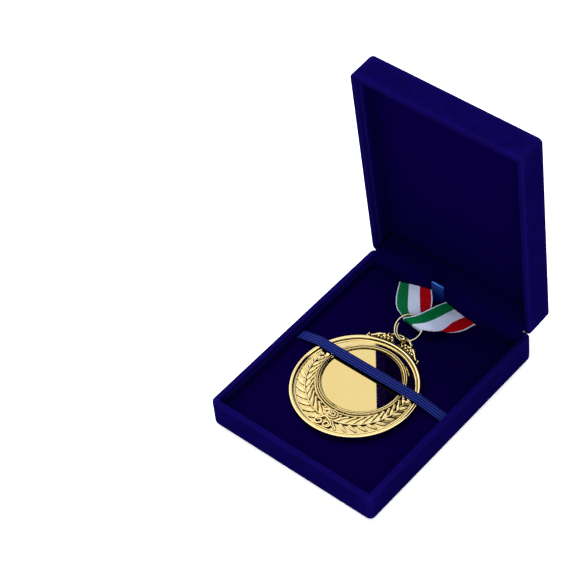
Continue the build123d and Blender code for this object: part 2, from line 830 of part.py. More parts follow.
# where each strand crosses the platform's rear edge: its left end, then its right end
left_cross = (
    (cross_left_x, insert_top + cross_left_rise),
    (cross_left_end_x, insert_top + cross_left_end_rise),
)
right_cross = (
    (cross_right_x, insert_top + cross_right_rise),
    (cross_right_end_x, insert_top + cross_right_end_rise),
)
bend_y = upper.Y + bend_place_share * (over_edge - upper.Y)
right_bend = (right_bend_x, bend_y, insert_top + right_bend_rise)
left_bend = (left_bend_x, bend_y, insert_top + left_bend_rise)


def crossing(cross):
    """Section of a strand where it meets the rear edge, square to Y."""
    (x0, z0), (x1, z1) = cross
    middle = ((x0 + x1) / 2, over_edge, (z0 + z1) / 2)
    return middle, (x1 - x0, 0, z1 - z0), (0, 1, 0), math.hypot(x1 - x0, z1 - z0)


ribbon_right = strand(
    (
        ((upper.X, upper.Y, upper.Z), (1, 0, 0), ring_plane.y_dir, ribbon_loop_width),
        (right_bend, right_bend_across, right_bend_along, bend_width),
        crossing(right_cross),
    )
)
save(ribbon_right, "ribbon_right")

ribbon_left = strand(
    (
        ((lower.X, lower.Y, lower.Z), (1, 0, 0), ring_plane.y_dir, ribbon_loop_width),
        (left_bend, left_bend_across, left_bend_along, bend_width),
        crossing(left_cross),
    )
)
save(ribbon_left, "ribbon_left")

with BuildPart() as ribbon_drop:
    for (x0, z0), (x1, z1) in (left_cross, right_cross):
        with BuildSketch(Plane.XZ.offset(-drop_y)):
            with BuildLine():
                Polyline((x0, drop_low), (x0, z0), (x1, z1), (x1, drop_low), close=True)
            make_face()
        extrude(amount=ribbon_thickness / 2, both=True)
        with BuildSketch(Plane.XY.offset(drop_low)):
            with Locations((x0, drop_y + ribbon_thickness / 2)):
                Rectangle(x1 - x0, drop_turn, align=(Align.MIN, Align.MAX))
        extrude(amount=ribbon_thickness)
save(ribbon_drop, "ribbon_drop")

# The rest of the ribbon, folded to and fro under the platform
with BuildPart() as ribbon_store:
    with BuildSketch(Plane.YZ.offset(store_x)):
        with BuildLine():
            for leg in range(store_legs):
                height = floor_top + store_pitch / 2 + leg * store_pitch
                Line((store_back - store_length, height), (store_back, height))
                if leg < store_legs - 1:
                    end = store_back if leg % 2 == 0 else store_back - store_length
                    bulge = store_pitch / 2 if leg % 2 == 0 else -store_pitch / 2
                    ThreePointArc(
                        (end, height),
                        (end + bulge, height + store_pitch / 2),
                        (end, height + store_pitch),
                    )
        trace(line_width=ribbon_thickness)
    extrude(amount=ribbon_width / 2, both=True)
save(ribbon_store, "ribbon_store")

# Pull tab: a folded satin loop standing behind the platform, its tails glued underneath
tab_near = drop_y - tab_fold_radius
tab_far = drop_y + tab_fold_radius
tab_root = insert_top + tab_root_gap
tab_top = insert_top + tab_rise
tab_tail_z = board_under - ribbon_window_lintel - tab_layer - sheet_clearance
with BuildPart() as pull_tab:
    with BuildSketch(Plane.YZ.offset(tab_x)):
        with BuildLine():
            Line((tab_near, tab_root), (tab_near, tab_top))
            ThreePointArc(
                (tab_near, tab_top), (drop_y, tab_top + tab_fold_radius), (tab_far, tab_top)
            )
            Line((tab_far, tab_top), (tab_far, tab_root))
        trace(line_width=tab_layer)
    extrude(amount=tab_width / 2, both=True)
save(pull_tab, "pull_tab")

with BuildPart() as pull_tab_tail:
    with BuildSketch(Plane.YZ.offset(tab_x)):
        with BuildLine():
            FilletPolyline(
                (drop_y, tab_root - ribbon_gap),
                (drop_y, tab_tail_z),
                (drop_y - tab_tail, tab_tail_z),
                radius=tab_layer,
            )
        trace(line_width=2 * tab_layer)
    extrude(amount=tab_width / 2, both=True)
save(pull_tab_tail, "pull_tab_tail")
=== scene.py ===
from math import cos, degrees, exp, hypot, pi, radians, sin, sqrt, tan

import bmesh
import bpy
from mathutils import Matrix, Vector


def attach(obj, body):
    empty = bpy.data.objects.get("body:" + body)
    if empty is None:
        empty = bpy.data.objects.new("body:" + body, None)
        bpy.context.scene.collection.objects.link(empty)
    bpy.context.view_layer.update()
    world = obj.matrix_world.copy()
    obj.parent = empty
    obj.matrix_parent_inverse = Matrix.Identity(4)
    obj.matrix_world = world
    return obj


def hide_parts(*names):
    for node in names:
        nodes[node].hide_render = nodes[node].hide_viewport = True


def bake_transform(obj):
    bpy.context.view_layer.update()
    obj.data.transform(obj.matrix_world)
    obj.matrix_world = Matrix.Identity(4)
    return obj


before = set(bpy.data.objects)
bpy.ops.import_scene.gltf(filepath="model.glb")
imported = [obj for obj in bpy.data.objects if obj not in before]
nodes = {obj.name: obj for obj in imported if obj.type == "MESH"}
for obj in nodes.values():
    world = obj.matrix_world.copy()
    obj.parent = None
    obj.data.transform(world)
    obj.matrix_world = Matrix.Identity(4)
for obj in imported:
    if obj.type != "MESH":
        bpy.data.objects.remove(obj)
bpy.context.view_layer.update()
print("frame loaded:", len(nodes), "nodes")

# The case as the solids have it, in millimetres: X across, Y front to hinge, Z up from the table.
case = {
    "width": 100.0,
    "depth": 126.4,
    "foot": 0.4,
    "baseHeight": 17.2,
    "lidHeight": 16.7,
    "lidTop": 34.2,
    "wall": 3.25,
    "cornerRadius": 3.0,
    "cavityCorner": 0.5,
    "edgeRadius": 2.0,
    "rimOuter": 1.1,
    "rimInner": 0.7,
    "turnIn": 4.0,
    "underFoot": 6.0,
    "openAngle": 86.7,
    "hingeY": 62.45,  # the pin's place
    "hingeZ": 17.83,
    "leafHalf": 45.5,
    "clothThickness": 0.4,
}


def opened(point):
    # where a point of the shut lid stands once the lid is turned open about the pin
    turn = radians(-case["openAngle"])
    y, z = point[1] - case["hingeY"], point[2] - case["hingeZ"]
    return (
        point[0],
        case["hingeY"] + y * cos(turn) - z * sin(turn),
        case["hingeZ"] + y * sin(turn) + z * cos(turn),
    )


view = {
    "azimuth": 45.518,
    "elevation": 47.463,
    "roll": -6.770,
    "target": (-65.391, 13.856, 20.0),
    "distance": 1072.151,
    "focalPixels": 2124.52,
    "framePixels": 576,
    "sensor": 36.0,
}


def makeCamera():
    around, above = radians(view["azimuth"]), radians(view["elevation"])
    level = cos(above)
    back = Vector((level * sin(around), -level * cos(around), sin(above)))
    side = Vector((cos(around), sin(around), 0))
    rise = back.cross(side)
    tilt = radians(view["roll"])
    right = side * cos(tilt) + rise * sin(tilt)
    up = back.cross(right)
    place = Matrix((right, up, back)).transposed().to_4x4()
    place.translation = (Vector(view["target"]) + back * view["distance"]) / 1000
    data = bpy.data.cameras.new("camera")
    data.sensor_width = view["sensor"]
    data.lens = view["focalPixels"] * view["sensor"] / view["framePixels"]
    data.clip_start, data.clip_end = 0.01, 20
    camera = bpy.data.objects.new("camera", data)
    camera.matrix_world = place
    bpy.context.scene.collection.objects.link(camera)
    bpy.context.scene.camera = camera


makeCamera()
bpy.context.scene.view_settings.view_transform = "Standard"
print("camera placed")


def srgb(code):
    # an sRGB hex colour as the linear values that Blender's sockets take
    values = [int(code[i : i + 2], 16) / 255 for i in (0, 2, 4)]
    linear = [v / 12.92 if v <= 0.04045 else ((v + 0.055) / 1.055) ** 2.4 for v in values]
    return (*linear, 1.0)


def setInputs(node, inputs):
    # each input takes a number, a colour, or a link from another node's output
    for name, value in inputs.items():
        if isinstance(value, bpy.types.NodeSocket):
            node.id_data.links.new(value, node.inputs[name])
        else:
            node.inputs[name].default_value = srgb(value) if isinstance(value, str) else value


def addNode(tree, kind, output, inputs=None, stops=(), stepped=False, **settings):
    # adds a node with its settings and links, and gives back the output that is used
    node = tree.nodes.new("ShaderNode" + kind)
    for name, value in settings.items():
        setattr(node, name, value)
    setInputs(node, inputs or {})
    for i, (position, colour) in enumerate(stops):
        elements = node.color_ramp.elements
        element = elements[i] if i < len(elements) else elements.new(position)
        element.position = position
        element.color = srgb(colour) if isinstance(colour, str) else colour
    if stepped:
        node.color_ramp.interpolation = "CONSTANT"
    return node.outputs[output]


def grain(place, millimetres, detail=2.0):
    # settings of a pattern that repeats at that real size, on coordinates in metres
    return {"Vector": place, "Scale": 1000 / millimetres, "Detail": detail}


def waveScale(millimetres):
    # a wave texture runs through a band every 2 pi / 20 of its scaled coordinate
    return 100 * pi / millimetres


def startMaterial(name):
    material = bpy.data.materials.new(name)
    material.use_nodes = True
    tree = material.node_tree
    return material, tree, tree.nodes["Principled BSDF"]


lights = {
    "softbox": (-0.48, 0.47, 0.74),  # direction of the large softbox that the metal mirrors
    "softboxSteps": (0.5, 0.62, 0.88, 0.965),  # cosines off it: room, its edge, its middle
    "softboxTone": "f8f6f4",
    "softboxEdge": 1.9,  # it is brighter round its edge, which whitens the rims of the gold
    "roomTone": "0c0c0e",
    "key": {"place": (-0.7, 0.5, 1.3), "aim": (0, 0.02, 0.02), "size": 1.0, "watts": 20.0},
    "fill": {"place": (0.85, -0.95, 0.8), "aim": (0, 0.0, 0.03), "size": 1.0, "watts": 18.0},
    "floorHalf": 2.5,
    "floorColour": "fafafa",
    "floorShade": "f2f2f2",
    "floorGlow": 0.4,
}


def dimmed(code, share):
    # a colour cut to one part in share, for a sky whose strength is raised by as much
    return tuple(v / share for v in srgb(code)[:3]) + (1.0,)


def makeLights():
    world = bpy.data.worlds.new("studio")
    world.use_nodes = True
    bpy.context.scene.world = world
    tree = world.node_tree
    room, box, edge = (lights[part] for part in ("roomTone", "softboxTone", "softboxEdge"))
    coords = addNode(tree, "TexCoord", "Generated")
    facing = addNode(
        tree, "VectorMath", "Value", {0: coords, 1: lights["softbox"]}, operation="DOT_PRODUCT"
    )
    tones = (dimmed(room, edge), box, box, dimmed(box, edge))
    tone = addNode(
        tree, "ValToRGB", "Color", {"Fac": facing}, list(zip(lights["softboxSteps"], tones))
    )
    setInputs(tree.nodes["Background"], {"Color": tone, "Strength": edge})
    for name in ("key", "fill"):
        facts = lights[name]
        data = bpy.data.lights.new(name, "AREA")
        data.size, data.energy = facts["size"], facts["watts"]
        lamp = bpy.data.objects.new(name, data)
        lamp.location = facts["place"]
        aim = Vector(facts["aim"]) - Vector(facts["place"])
        lamp.rotation_euler = aim.to_track_quat("-Z", "Y").to_euler()
        lamp.visible_glossy = False  # the metal mirrors the softbox alone
        bpy.context.scene.collection.objects.link(lamp)


def makeFloor():
    # opal acrylic table lit a little from below, as for catalogue work: shadows wash out on it
    material, tree, shader = startMaterial("opalAcrylicTable")
    place = addNode(tree, "TexCoord", "Object")
    speck = addNode(tree, "TexNoise", "Fac", grain(place, 120.0))
    stops = [(0.3, lights["floorShade"]), (0.7, lights["floorColour"])]
    tone = addNode(tree, "ValToRGB", "Color", {"Fac": speck}, stops)
    setInputs(shader, {"Base Color": tone, "Roughness": 0.9, "Specular IOR Level": 0.1})
    setInputs(shader, {"Emission Color": "ffffff", "Emission Strength": lights["floorGlow"]})
    half = lights["floorHalf"]
    corners = [(-half, -half, 0), (half, -half, 0), (half, half, 0), (-half, half, 0)]
    mesh = bpy.data.meshes.new("floor")
    mesh.from_pydata(corners, [], [(0, 1, 2, 3)])
    mesh.materials.append(material)
    floor = bpy.data.objects.new("floor", mesh)
    bpy.context.scene.collection.objects.link(floor)


makeLights()
makeFloor()
print("lights and floor placed")


def flockedVelvet(name, deep, lit, napSize=9.0, sheen=0.3, edge=None):
    # viscose flock velvet: short upright pile drinks the light, so faces are deep and even,
    # the nap leans a little in patches, and edges seen side on carry a paler bloom
    material, tree, shader = startMaterial(name)
    place = addNode(tree, "TexCoord", "Object")
    nap = addNode(tree, "TexNoise", "Fac", {**grain(place, napSize, 5.0), "Roughness": 0.7})
    # real pile is about 0.1 mm, drawn at 0.5 mm so that it shows
    pile = addNode(tree, "TexNoise", "Fac", grain(place, 0.5))
    both = addNode(tree, "Mix", 0, {0: 0.5, 2: nap, 3: pile}, data_type="FLOAT")
    colour = addNode(tree, "ValToRGB", "Color", {"Fac": both}, [(0.36, deep), (0.64, lit)])
    if edge:  # painted highlight: a paler colour where the board under the velvet turns
        form = addNode(tree, "NewGeometry", "Pointiness")
        turned = addNode(
            tree, "MapRange", "Result", {"Value": form, "From Min": 0.505, "From Max": 0.6}
        )
        colour = addNode(tree, "Mix", 2, {0: turned, 6: colour, 7: edge}, data_type="RGBA")
    bump = addNode(tree, "Bump", "Normal", {"Height": pile, "Strength": 0.5, "Distance": 0.0002})
    setInputs(shader, {"Base Color": colour, "Normal": bump, "Roughness": 0.95})
    setInputs(shader, {"Specular IOR Level": 0.0, "Sheen Weight": sheen})
    setInputs(shader, {"Sheen Roughness": 0.2, "Sheen Tint": "3a2c96"})
    return material


def stripedGrosgrain():
    # polyester grosgrain in three woven bands with white picot edges. Its cross ribs are about 0.9
    # mm apart and are drawn at 1.2 mm, with painted shade between them and a painted highlight on
    # their crowns
    material, tree, shader = startMaterial("stripedGrosgrain")
    place = addNode(tree, "UVMap", "UV")
    across = addNode(tree, "SeparateXYZ", "X", {"Vector": place})
    wide = 1000 / ribbon["width"]
    share = addNode(tree, "Math", 0, {0: across, 1: wide}, operation="MULTIPLY")
    edge = ribbon["picot"] / ribbon["width"]
    starts = (0.0, edge, ribbon["whiteFrom"], ribbon["redFrom"], 1 - edge)
    tones = [ribbon[c] for c in ("white", "green", "white", "red", "white")]
    bands = list(zip(starts, tones))
    bands = addNode(tree, "ValToRGB", "Color", {"Fac": share}, bands, stepped=True)
    # how much of the painted rib shade each band takes: less on the white and the red, none on the
    # picot
    ribShadeStops = [(start, (v, v, v, 1)) for start, v in zip(starts, (0.0, 1.0, 0.2, 0.7, 0.0))]
    depth = addNode(tree, "ValToRGB", "Color", {"Fac": share}, ribShadeStops, stepped=True)
    weave = {"Vector": place, "Scale": waveScale(1.2), "Distortion": 0.4}
    ribs = addNode(tree, "TexWave", "Fac", weave, bands_direction="Y")
    thread = addNode(tree, "TexNoise", "Fac", grain(place, 0.35))
    paintedRibShade = addNode(tree, "MapRange", "Result", {"Value": ribs, "To Min": 0.1, "To Max": 1.45})
    colour = addNode(
        tree, "Mix", 2, {0: depth, 6: bands, 7: paintedRibShade}, data_type="RGBA", blend_type="MULTIPLY"
    )
    rough = addNode(tree, "Math", 0, {0: ribs, 1: thread}, operation="ADD")
    bump = addNode(tree, "Bump", "Normal", {"Height": rough, "Strength": 0.6, "Distance": 0.00015})
    setInputs(shader, {"Base Color": colour, "Normal": bump})
    setInputs(shader, {"Roughness": 0.7, "Specular IOR Level": 0.05})
    return material


def braidedElastic():
    # braided nylon elastic: dull royal blue, with a painted highlight along each cord
    material, tree, shader = startMaterial("braidedElastic")
    place = addNode(tree, "UVMap", "UV")
    # thread pitch is about 0.3 mm, drawn at 0.6 mm
    braid = {"Vector": place, "Scale": waveScale(0.6), "Distortion": 1.5}
    pick = addNode(tree, "TexWave", "Fac", braid, bands_direction="Y")
    # a painted highlight along each cord, over painted shade on the dull ground between them
    along = {"Vector": place, "Scale": waveScale(strap["width"] / strap["ribs"])}
    along["Phase Offset"] = pi * (strap["ribs"] - 1)
    cordHighlights = addNode(tree, "TexWave", "Fac", along, bands_direction="X")
    mixed = addNode(tree, "Mix", 0, {0: 0.25, 2: cordHighlights, 3: pick}, data_type="FLOAT")
    stops = [(0.2, strap["deep"]), (0.6, strap["mid"]), (0.85, strap["lit"])]
    tone = addNode(tree, "ValToRGB", "Color", {"Fac": mixed}, stops)
    bump = addNode(tree, "Bump", "Normal", {"Height": pick, "Strength": 0.4, "Distance": 0.0001})
    setInputs(shader, {"Base Color": tone, "Normal": bump})
    setInputs(shader, {"Roughness": 0.7, "Specular IOR Level": 0.08})
    return material


def wovenSatin(name, deep, lit, fold):
    # polyester satin: long floats give a smooth cloth; its dark face is painted shade, and the
    # bright band at its fold a painted highlight
    material, tree, shader = startMaterial(name)
    place = addNode(tree, "UVMap", "UV")
    drawn = addNode(tree, "Mapping", "Vector", {"Vector": place, "Scale": (1.0, 0.08, 1.0)})
    warp = addNode(tree, "TexNoise", "Fac", grain(drawn, 0.5))
    cloth = addNode(tree, "ValToRGB", "Color", {"Fac": warp}, [(0.3, deep), (0.7, lit)])
    # share of the way along at which the cloth folds, and the painted highlight there
    way = addNode(tree, "SeparateXYZ", "Y", {"Vector": place})
    along = addNode(tree, "Math", 0, {0: way, 1: 1000 / fold["length"]}, operation="MULTIPLY")
    foldHighlightStops = [(0.2, "000000"), (0.46, "5a5a5a"), (0.48, "ffffff"), (0.5, "000000")]
    foldHighlight = addNode(tree, "ValToRGB", "Color", {"Fac": along}, foldHighlightStops)
    foldHighlightMix = {0: foldHighlight, 6: cloth, 7: fold["tone"]}
    colour = addNode(tree, "Mix", 2, foldHighlightMix, data_type="RGBA")
    bump = addNode(tree, "Bump", "Normal", {"Height": warp, "Strength": 0.3, "Distance": 0.0001})
    setInputs(shader, {"Base Color": colour, "Normal": bump, "Roughness": 0.4})
    setInputs(shader, {"Specular IOR Level": 0.1, "Anisotropic": 0.4})
    return material


def goldPlate(name, pale, deep, roughness, ripple, low=None):
    # zinc alloy, die struck and flash plated in pale gold: bright, with painted shade in the low
    # places, and fine polishing marks that only show where it is satin
    material, tree, shader = startMaterial(name)
    place = addNode(tree, "TexCoord", "Object")
    tint = addNode(tree, "TexNoise", "Fac", grain(place, 6.0, 3.0))
    colour = addNode(tree, "ValToRGB", "Color", {"Fac": tint}, [(0.25, deep), (0.75, pale)])
    if low:  # painted shade: dark where places are walled in within 1.2 mm
        recessOcclusion = addNode(tree, "AmbientOcclusion", "AO", {"Distance": 0.0012}, samples=16)
        reach = addNode(
            tree, "MapRange", "Result", {"Value": recessOcclusion, "From Min": 0.26, "From Max": 0.57}
        )
        colour = addNode(tree, "Mix", 2, {0: reach, 6: low, 7: colour}, data_type="RGBA")
    # real marks are about 0.2 mm, drawn at 0.4 mm
    marks = addNode(tree, "TexNoise", "Fac", grain(place, 0.4))
    relief = {"Height": marks, "Strength": ripple, "Distance": 0.00005}
    bump = addNode(tree, "Bump", "Normal", relief)
    setInputs(shader, {"Base Color": colour, "Normal": bump})
    setInputs(shader, {"Metallic": 1.0, "Roughness": roughness})
    return material


def rolledSteel(name, tone, roughness):
    # nickel plated strip steel, rolled: faint streaks along the strip, 0.3 mm apart
    material, tree, shader = startMaterial(name)
    place = addNode(tree, "TexCoord", "Object")
    drawn = addNode(tree, "Mapping", "Vector", {"Vector": place, "Scale": (0.03, 1.0, 1.0)})
    streak = addNode(tree, "TexNoise", "Fac", grain(drawn, 0.3, 3.0))
    spread = {"Value": streak, "To Min": roughness * 0.7, "To Max": roughness * 1.3}
    rough = addNode(tree, "MapRange", "Result", spread)
    setInputs(shader, {"Roughness": rough, "Metallic": 1.0, "Base Color": tone})
    return material


def pressedPaper(name, deep, lit):
    # uncoated paper board: dull, with a fibre fleck under a millimetre long
    material, tree, shader = startMaterial(name)
    place = addNode(tree, "TexCoord", "Object")
    fibre = addNode(tree, "TexNoise", "Fac", grain(place, 0.8, 5.0))
    tone = addNode(tree, "ValToRGB", "Color", {"Fac": fibre}, [(0.35, deep), (0.65, lit)])
    bump = addNode(tree, "Bump", "Normal", {"Height": fibre, "Strength": 0.25, "Distance": 0.0001})
    setInputs(shader, {"Base Color": tone, "Normal": bump})
    setInputs(shader, {"Roughness": 0.85, "Specular IOR Level": 0.2})
    return material


def mouldedPolystyrene():
    # the stiff tray inside the velvet: high-impact polystyrene, moulded matt
    material, tree, shader = startMaterial("mouldedPolystyrene")
    place = addNode(tree, "TexCoord", "Object")
    spark = addNode(tree, "TexNoise", "Fac", grain(place, 0.4))
    bump = addNode(tree, "Bump", "Normal", {"Height": spark, "Strength": 0.2, "Distance": 0.00005})
    setInputs(shader, {"Base Color": "15123a", "Normal": bump})
    setInputs(shader, {"Roughness": 0.5, "IOR": 1.59})
    return material


ribbon = {
    "width": 18.5,
    "thickness": 0.32,
    "picot": 0.45,
    "whiteFrom": 0.335,
    "redFrom": 0.665,
    "green": "04683a",
    "white": "b6c1de",
    "red": "9b010e",
    "smoothing": 6,  # steps between two rows of points
    "dropSteps": 8,
    "dropFoot": 5.3,  # where the hanging ends turn in under the platform
}
strap = {
    "y": -0.5,
    "width": 5.4,
    "thickness": 0.8,
    "ribs": 4,
    "ribDepth": 0.3,
    "bend": 1.2,
    # its colours run from the painted shade between the cords to the painted highlight on them
    "deep": "060a3a",
    "mid": "0a1150",
    "lit": "27388f",
    "tailFrom": 36.0,  # its tail runs under the platform, to the slot at the edge
    "slot": 45.55,
    "under": 9.0,
    "board": 11.0,
    "middle": -1.5,  # its halves meet here, and run level so far to either side
    "overMedal": 31.35,
    "top": 15.4,
}

# its edge colour 180e60 is a painted highlight along the turned edges of the case
outerVelvet = flockedVelvet(
    "outerVelvet", "05022e", "0b0448", napSize=6.0, sheen=0.5, edge="180e60"
)
platformVelvet = flockedVelvet("platformVelvet", "050029", "06002d", napSize=14.0, sheen=0.12)
liningVelvet = flockedVelvet("liningVelvet", "070032", "080038", sheen=0.2)
grosgrain = stripedGrosgrain()
elastic = braidedElastic()
# the tab's dark navy is painted shade over its face, and 3c96ff a painted highlight at its fold
tabSatin = wovenSatin("tabSatin", "020f4e", "03165e", {"length": 29.9, "tone": "3c96ff"})
# its 1a1206 is painted shade in the hollows of the relief
struckGold = goldPlate("struckGold", "f9e7ae", "f4dd98", 0.06, 0.06, low="1a1206")
mirrorGold = goldPlate("mirrorGold", "f7e09a", "f6de96", 0.02, 0.0)
ringGold = goldPlate("ringGold", "e4dcb8", "c9bd94", 0.12, 0.1)
hingeSteel = rolledSteel("hingeSteel", "c4c4c8", 0.3)
springSteel = rolledSteel("springSteel", "d2d2d6", 0.22)
blackBoard = pressedPaper("blackBoard", "060326", "0a0636")
footPaper = pressedPaper("footPaper", "14142c", "1c1c38")
for material, names in (
    (mouldedPolystyrene(), "base_shell lid_shell"),
    (footPaper, "base_floor_liner foot_sheet"),
    (hingeSteel, "hinge_base_leaf hinge_lid_leaf hinge_pin hinge_base_rivets hinge_lid_rivets"),
    (blackBoard, "insert_board"),
):
    for name in names.split():
        mesh = nodes[name].data
        mesh.materials.clear()
        mesh.materials.append(material)
print("materials made")


def makePiece(name, points, faces, material, replaced=(), uv=None, crease=None):
    mesh = bpy.data.meshes.new(name)
    mesh.from_pydata([tuple(c / 1000 for c in p) for p in points], [], faces)
    if uv:
        layer = mesh.uv_layers.new(name="UVMap")
        for loop in mesh.loops:
            layer.data[loop.index].uv = tuple(c / 1000 for c in uv[loop.vertex_index])
    build = bmesh.new()
    build.from_mesh(mesh)
    bmesh.ops.recalc_face_normals(build, faces=build.faces)
    build.to_mesh(mesh)
    build.free()
    mesh.shade_smooth()
    if crease:
        mesh.set_sharp_from_angle(angle=radians(crease))
    mesh.materials.append(material)
    piece = bpy.data.objects.new(name, mesh)
    bpy.context.scene.collection.objects.link(piece)
    if replaced:
        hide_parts(*replaced)
    return piece


def gridFaces(rows, columns, ringed=False, start=0):
    faces = []
    for r in range(rows - 1):
        for c in range(columns if ringed else columns - 1):
            a, b = start + r * columns + c, start + r * columns + (c + 1) % columns
            faces.append((a, b, b + columns, a + columns))
    return faces


def addRings(points, faces, rows, closed=(0, -1)):
    # rings of points joined side by side, with a flat face over those named as closed
    first, count = len(points), len(rows[0])
    points += [tuple(p) for row in rows for p in row]
    faces += gridFaces(len(rows), count, True, first)
    for end in closed:
        start = first + end % len(rows) * count
        faces.append(tuple(range(start, start + count)))


def circle(x, y, radius, z, count):
    turns = [2 * pi * k / count for k in range(count)]
    return [(x + radius * cos(turn), y + radius * sin(turn), z) for turn in turns]


def clothLayers(rows, over, under, ringed=False):
    # two faces of a cloth, so far along the normals of its grid on either side
    layers = ([], [])
    for r, row in enumerate(rows):
        after, before, last = rows[min(r + 1, len(rows) - 1)], rows[max(r - 1, 0)], len(row) - 1
        normals = []
        for c in range(len(row)):
            ahead = row[(c + 1) % len(row)] if ringed else row[min(c + 1, last)]
            behind = row[c - 1] if ringed or c > 0 else row[0]
            across, along = Vector(ahead) - Vector(behind), Vector(after[c]) - Vector(before[c])
            normals.append(across.cross(along).normalized())
        for layer, away in zip(layers, (over, -under)):
            layer.append([tuple(Vector(p) + n * away) for p, n in zip(row, normals)])
    return layers


def clothPiece(
    name, layers, material, replaced=(), ringed=False, crease=None, capped=False
):
    # a cloth with its edges closed; a capped one is a bag, closed by a flat face at its start
    rows, columns = len(layers[0]), len(layers[0][0])
    points = [p for layer in layers for row in layer for p in row]
    far = rows * columns
    faces = gridFaces(rows, columns, ringed) + gridFaces(rows, columns, ringed, far)
    edges = []
    for r in (rows - 1,) if capped else (0, rows - 1):
        for c in range(columns if ringed else columns - 1):
            edges.append((r * columns + c, r * columns + (c + 1) % columns))
    if not ringed:
        for c in (0, columns - 1):
            edges += [(r * columns + c, (r + 1) * columns + c) for r in range(rows - 1)]
    faces += [(a, b, far + b, far + a) for a, b in edges]
    if capped:
        faces += [tuple(range(columns)), tuple(range(far, far + columns))]
    uv = []
    for layer in layers:
        along = [0.0] * columns
        for r, row in enumerate(layer):
            across = 0.0
            for c, p in enumerate(row):
                if c:
                    across += (Vector(p) - Vector(row[c - 1])).length
                if r:
                    along[c] += (Vector(p) - Vector(layer[r - 1][c])).length
                uv.append((across, along[c]))
    return makePiece(name, points, faces, material, replaced, uv, crease)


def roundedPath(corners, radius, steps=5, spacing=1.5):
    # a line through corners, each turned on an arc, and its runs divided by spacing
    path = []
    corners = [Vector(c) for c in corners]
    for i, corner in enumerate(corners):
        if i in (0, len(corners) - 1):
            path.append(corner)
            continue
        before, after = corners[i - 1] - corner, corners[i + 1] - corner
        half = before.angle(after) / 2
        reach = min(radius / tan(half), 0.49 * before.length, 0.49 * after.length)
        first, last = corner + before.normalized() * reach, corner + after.normalized() * reach
        for s in range(steps + 1):
            t = s / steps
            path.append(first * (1 - t) ** 2 + corner * 2 * t * (1 - t) + last * t**2)
    filled = [path[0]]
    for p in path[1:]:
        start = filled[-1]
        run = p - start
        parts = max(1, round(run.length / spacing))
        filled += [start + run * (k + 1) / parts for k in range(parts)]
    return filled


def smoothRows(rows, steps):
    # a Catmull-Rom curve through the matching points of each row
    rows = [[Vector(p) for p in row] for row in rows]
    made = []
    for i in range(len(rows) - 1):
        near = [rows[max(0, min(len(rows) - 1, i + k))] for k in (-1, 0, 1, 2)]
        for s in range(steps):
            t = s / steps
            row = []
            for p, q, r, u in zip(*near):
                bent = q * 2 + (r - p) * t + (p * 2 - q * 5 + r * 4 - u) * t**2
                row.append((bent + (q * 3 - p - r * 3 + u) * t**3) / 2)
            made.append(row)
    return made + [rows[-1]]


def roundedLoop(halfX, halfY, radius, cornerSteps=5, sideSteps=14):
    # a rounded rectangle, anticlockwise from its right rear corner, its sides divided
    arcs = []
    for i, (sx, sy) in enumerate(((1, 1), (-1, 1), (-1, -1), (1, -1))):
        x, y = sx * (halfX - radius), sy * (halfY - radius)
        turns = [radians(90 * i + 90 * s / cornerSteps) for s in range(cornerSteps + 1)]
        arcs.append([(x + radius * cos(t), y + radius * sin(t)) for t in turns])
    loop = []
    for arc, following in zip(arcs, arcs[1:] + arcs[:1]):
        (x, y), (goalX, goalY) = arc[-1], following[0]
        loop += arc
        for t in (s / sideSteps for s in range(1, sideSteps)):
            loop.append((x * (1 - t) + goalX * t, y * (1 - t) + goalY * t))
    return loop


# where the tray velvet is cut away for the hinge: two lines across, then distances from the pin
hingeCut = {"from": 59.0, "inside": 60.5, "seat": 0.8, "reach": 5.2, "knuckle": 1.06}
# lining strips inside the trays: the height each starts at, and their length
lining = {"base": 2.6, "lid": 2.5, "thickness": 0.4, "length": 332.0, "gap": 0.05, "steps": 4}


def trayProfile(height, isLid):
    # (inset from the outside, height from the closed end) of the cover, from the closed end,
    # up its side, over the rim and down inside
    edge, outer, inner = case["edgeRadius"], case["rimOuter"], case["rimInner"]
    wall, quarter = case["wall"], [radians(90 * s / 4) for s in range(5)]
    profile = [(30.0, 0.0), (18.0, 0.0)] if isLid else []  # the lid's cover has no opening
    profile += [(8.0, 0.0), (5.0, 0.0), (3.0, 0.0)]
    profile += [(edge - edge * sin(t), edge - edge * cos(t)) for t in quarter]
    profile += [(0.0, edge + (height - outer - edge) * s / 6) for s in range(1, 6)]
    for t in quarter:
        profile.append((outer - outer * cos(t), height - outer + outer * sin(t)))
    for t in quarter:
        profile.append((wall - inner + inner * sin(t), height - inner + inner * cos(t)))
    return profile + [(wall, height - case["turnIn"] / 2), (wall, height - case["turnIn"])]


def clearOfHinge(x, y, z, isLid):
    # the cover is cut away under the knuckles and leaves along the rear rim
    pinY, pinZ, reach = case["hingeY"], case["hingeZ"], hingeCut["reach"]
    inRim = z < pinZ + reach if isLid else z > pinZ - reach
    if abs(x) > case["leafHalf"] or y < hingeCut["from"] or not inRim:
        return x, y, z
    y = max(y, hingeCut["inside"])
    z = max(z, pinZ + hingeCut["seat"]) if isLid else min(z, pinZ - hingeCut["seat"])
    away = Vector((y - pinY, z - pinZ))
    if away.length < hingeCut["knuckle"]:
        away = away.normalized() * hingeCut["knuckle"]
        y, z = pinY + away.x, pinZ + away.y
    return x, y, z


def trayRows(height, isLid):
    rows = []
    for inset, rise in trayProfile(height, isLid):
        radius = max(case["cornerRadius"] - inset, case["cavityCorner"])
        loop = roundedLoop(case["width"] / 2 - inset, case["depth"] / 2 - inset, radius)
        z = case["lidTop"] - rise if isLid else case["foot"] + rise
        row = [clearOfHinge(x, y, z, isLid) for x, y in loop]
        rows.append([opened(p) for p in row] if isLid else row)
    return rows


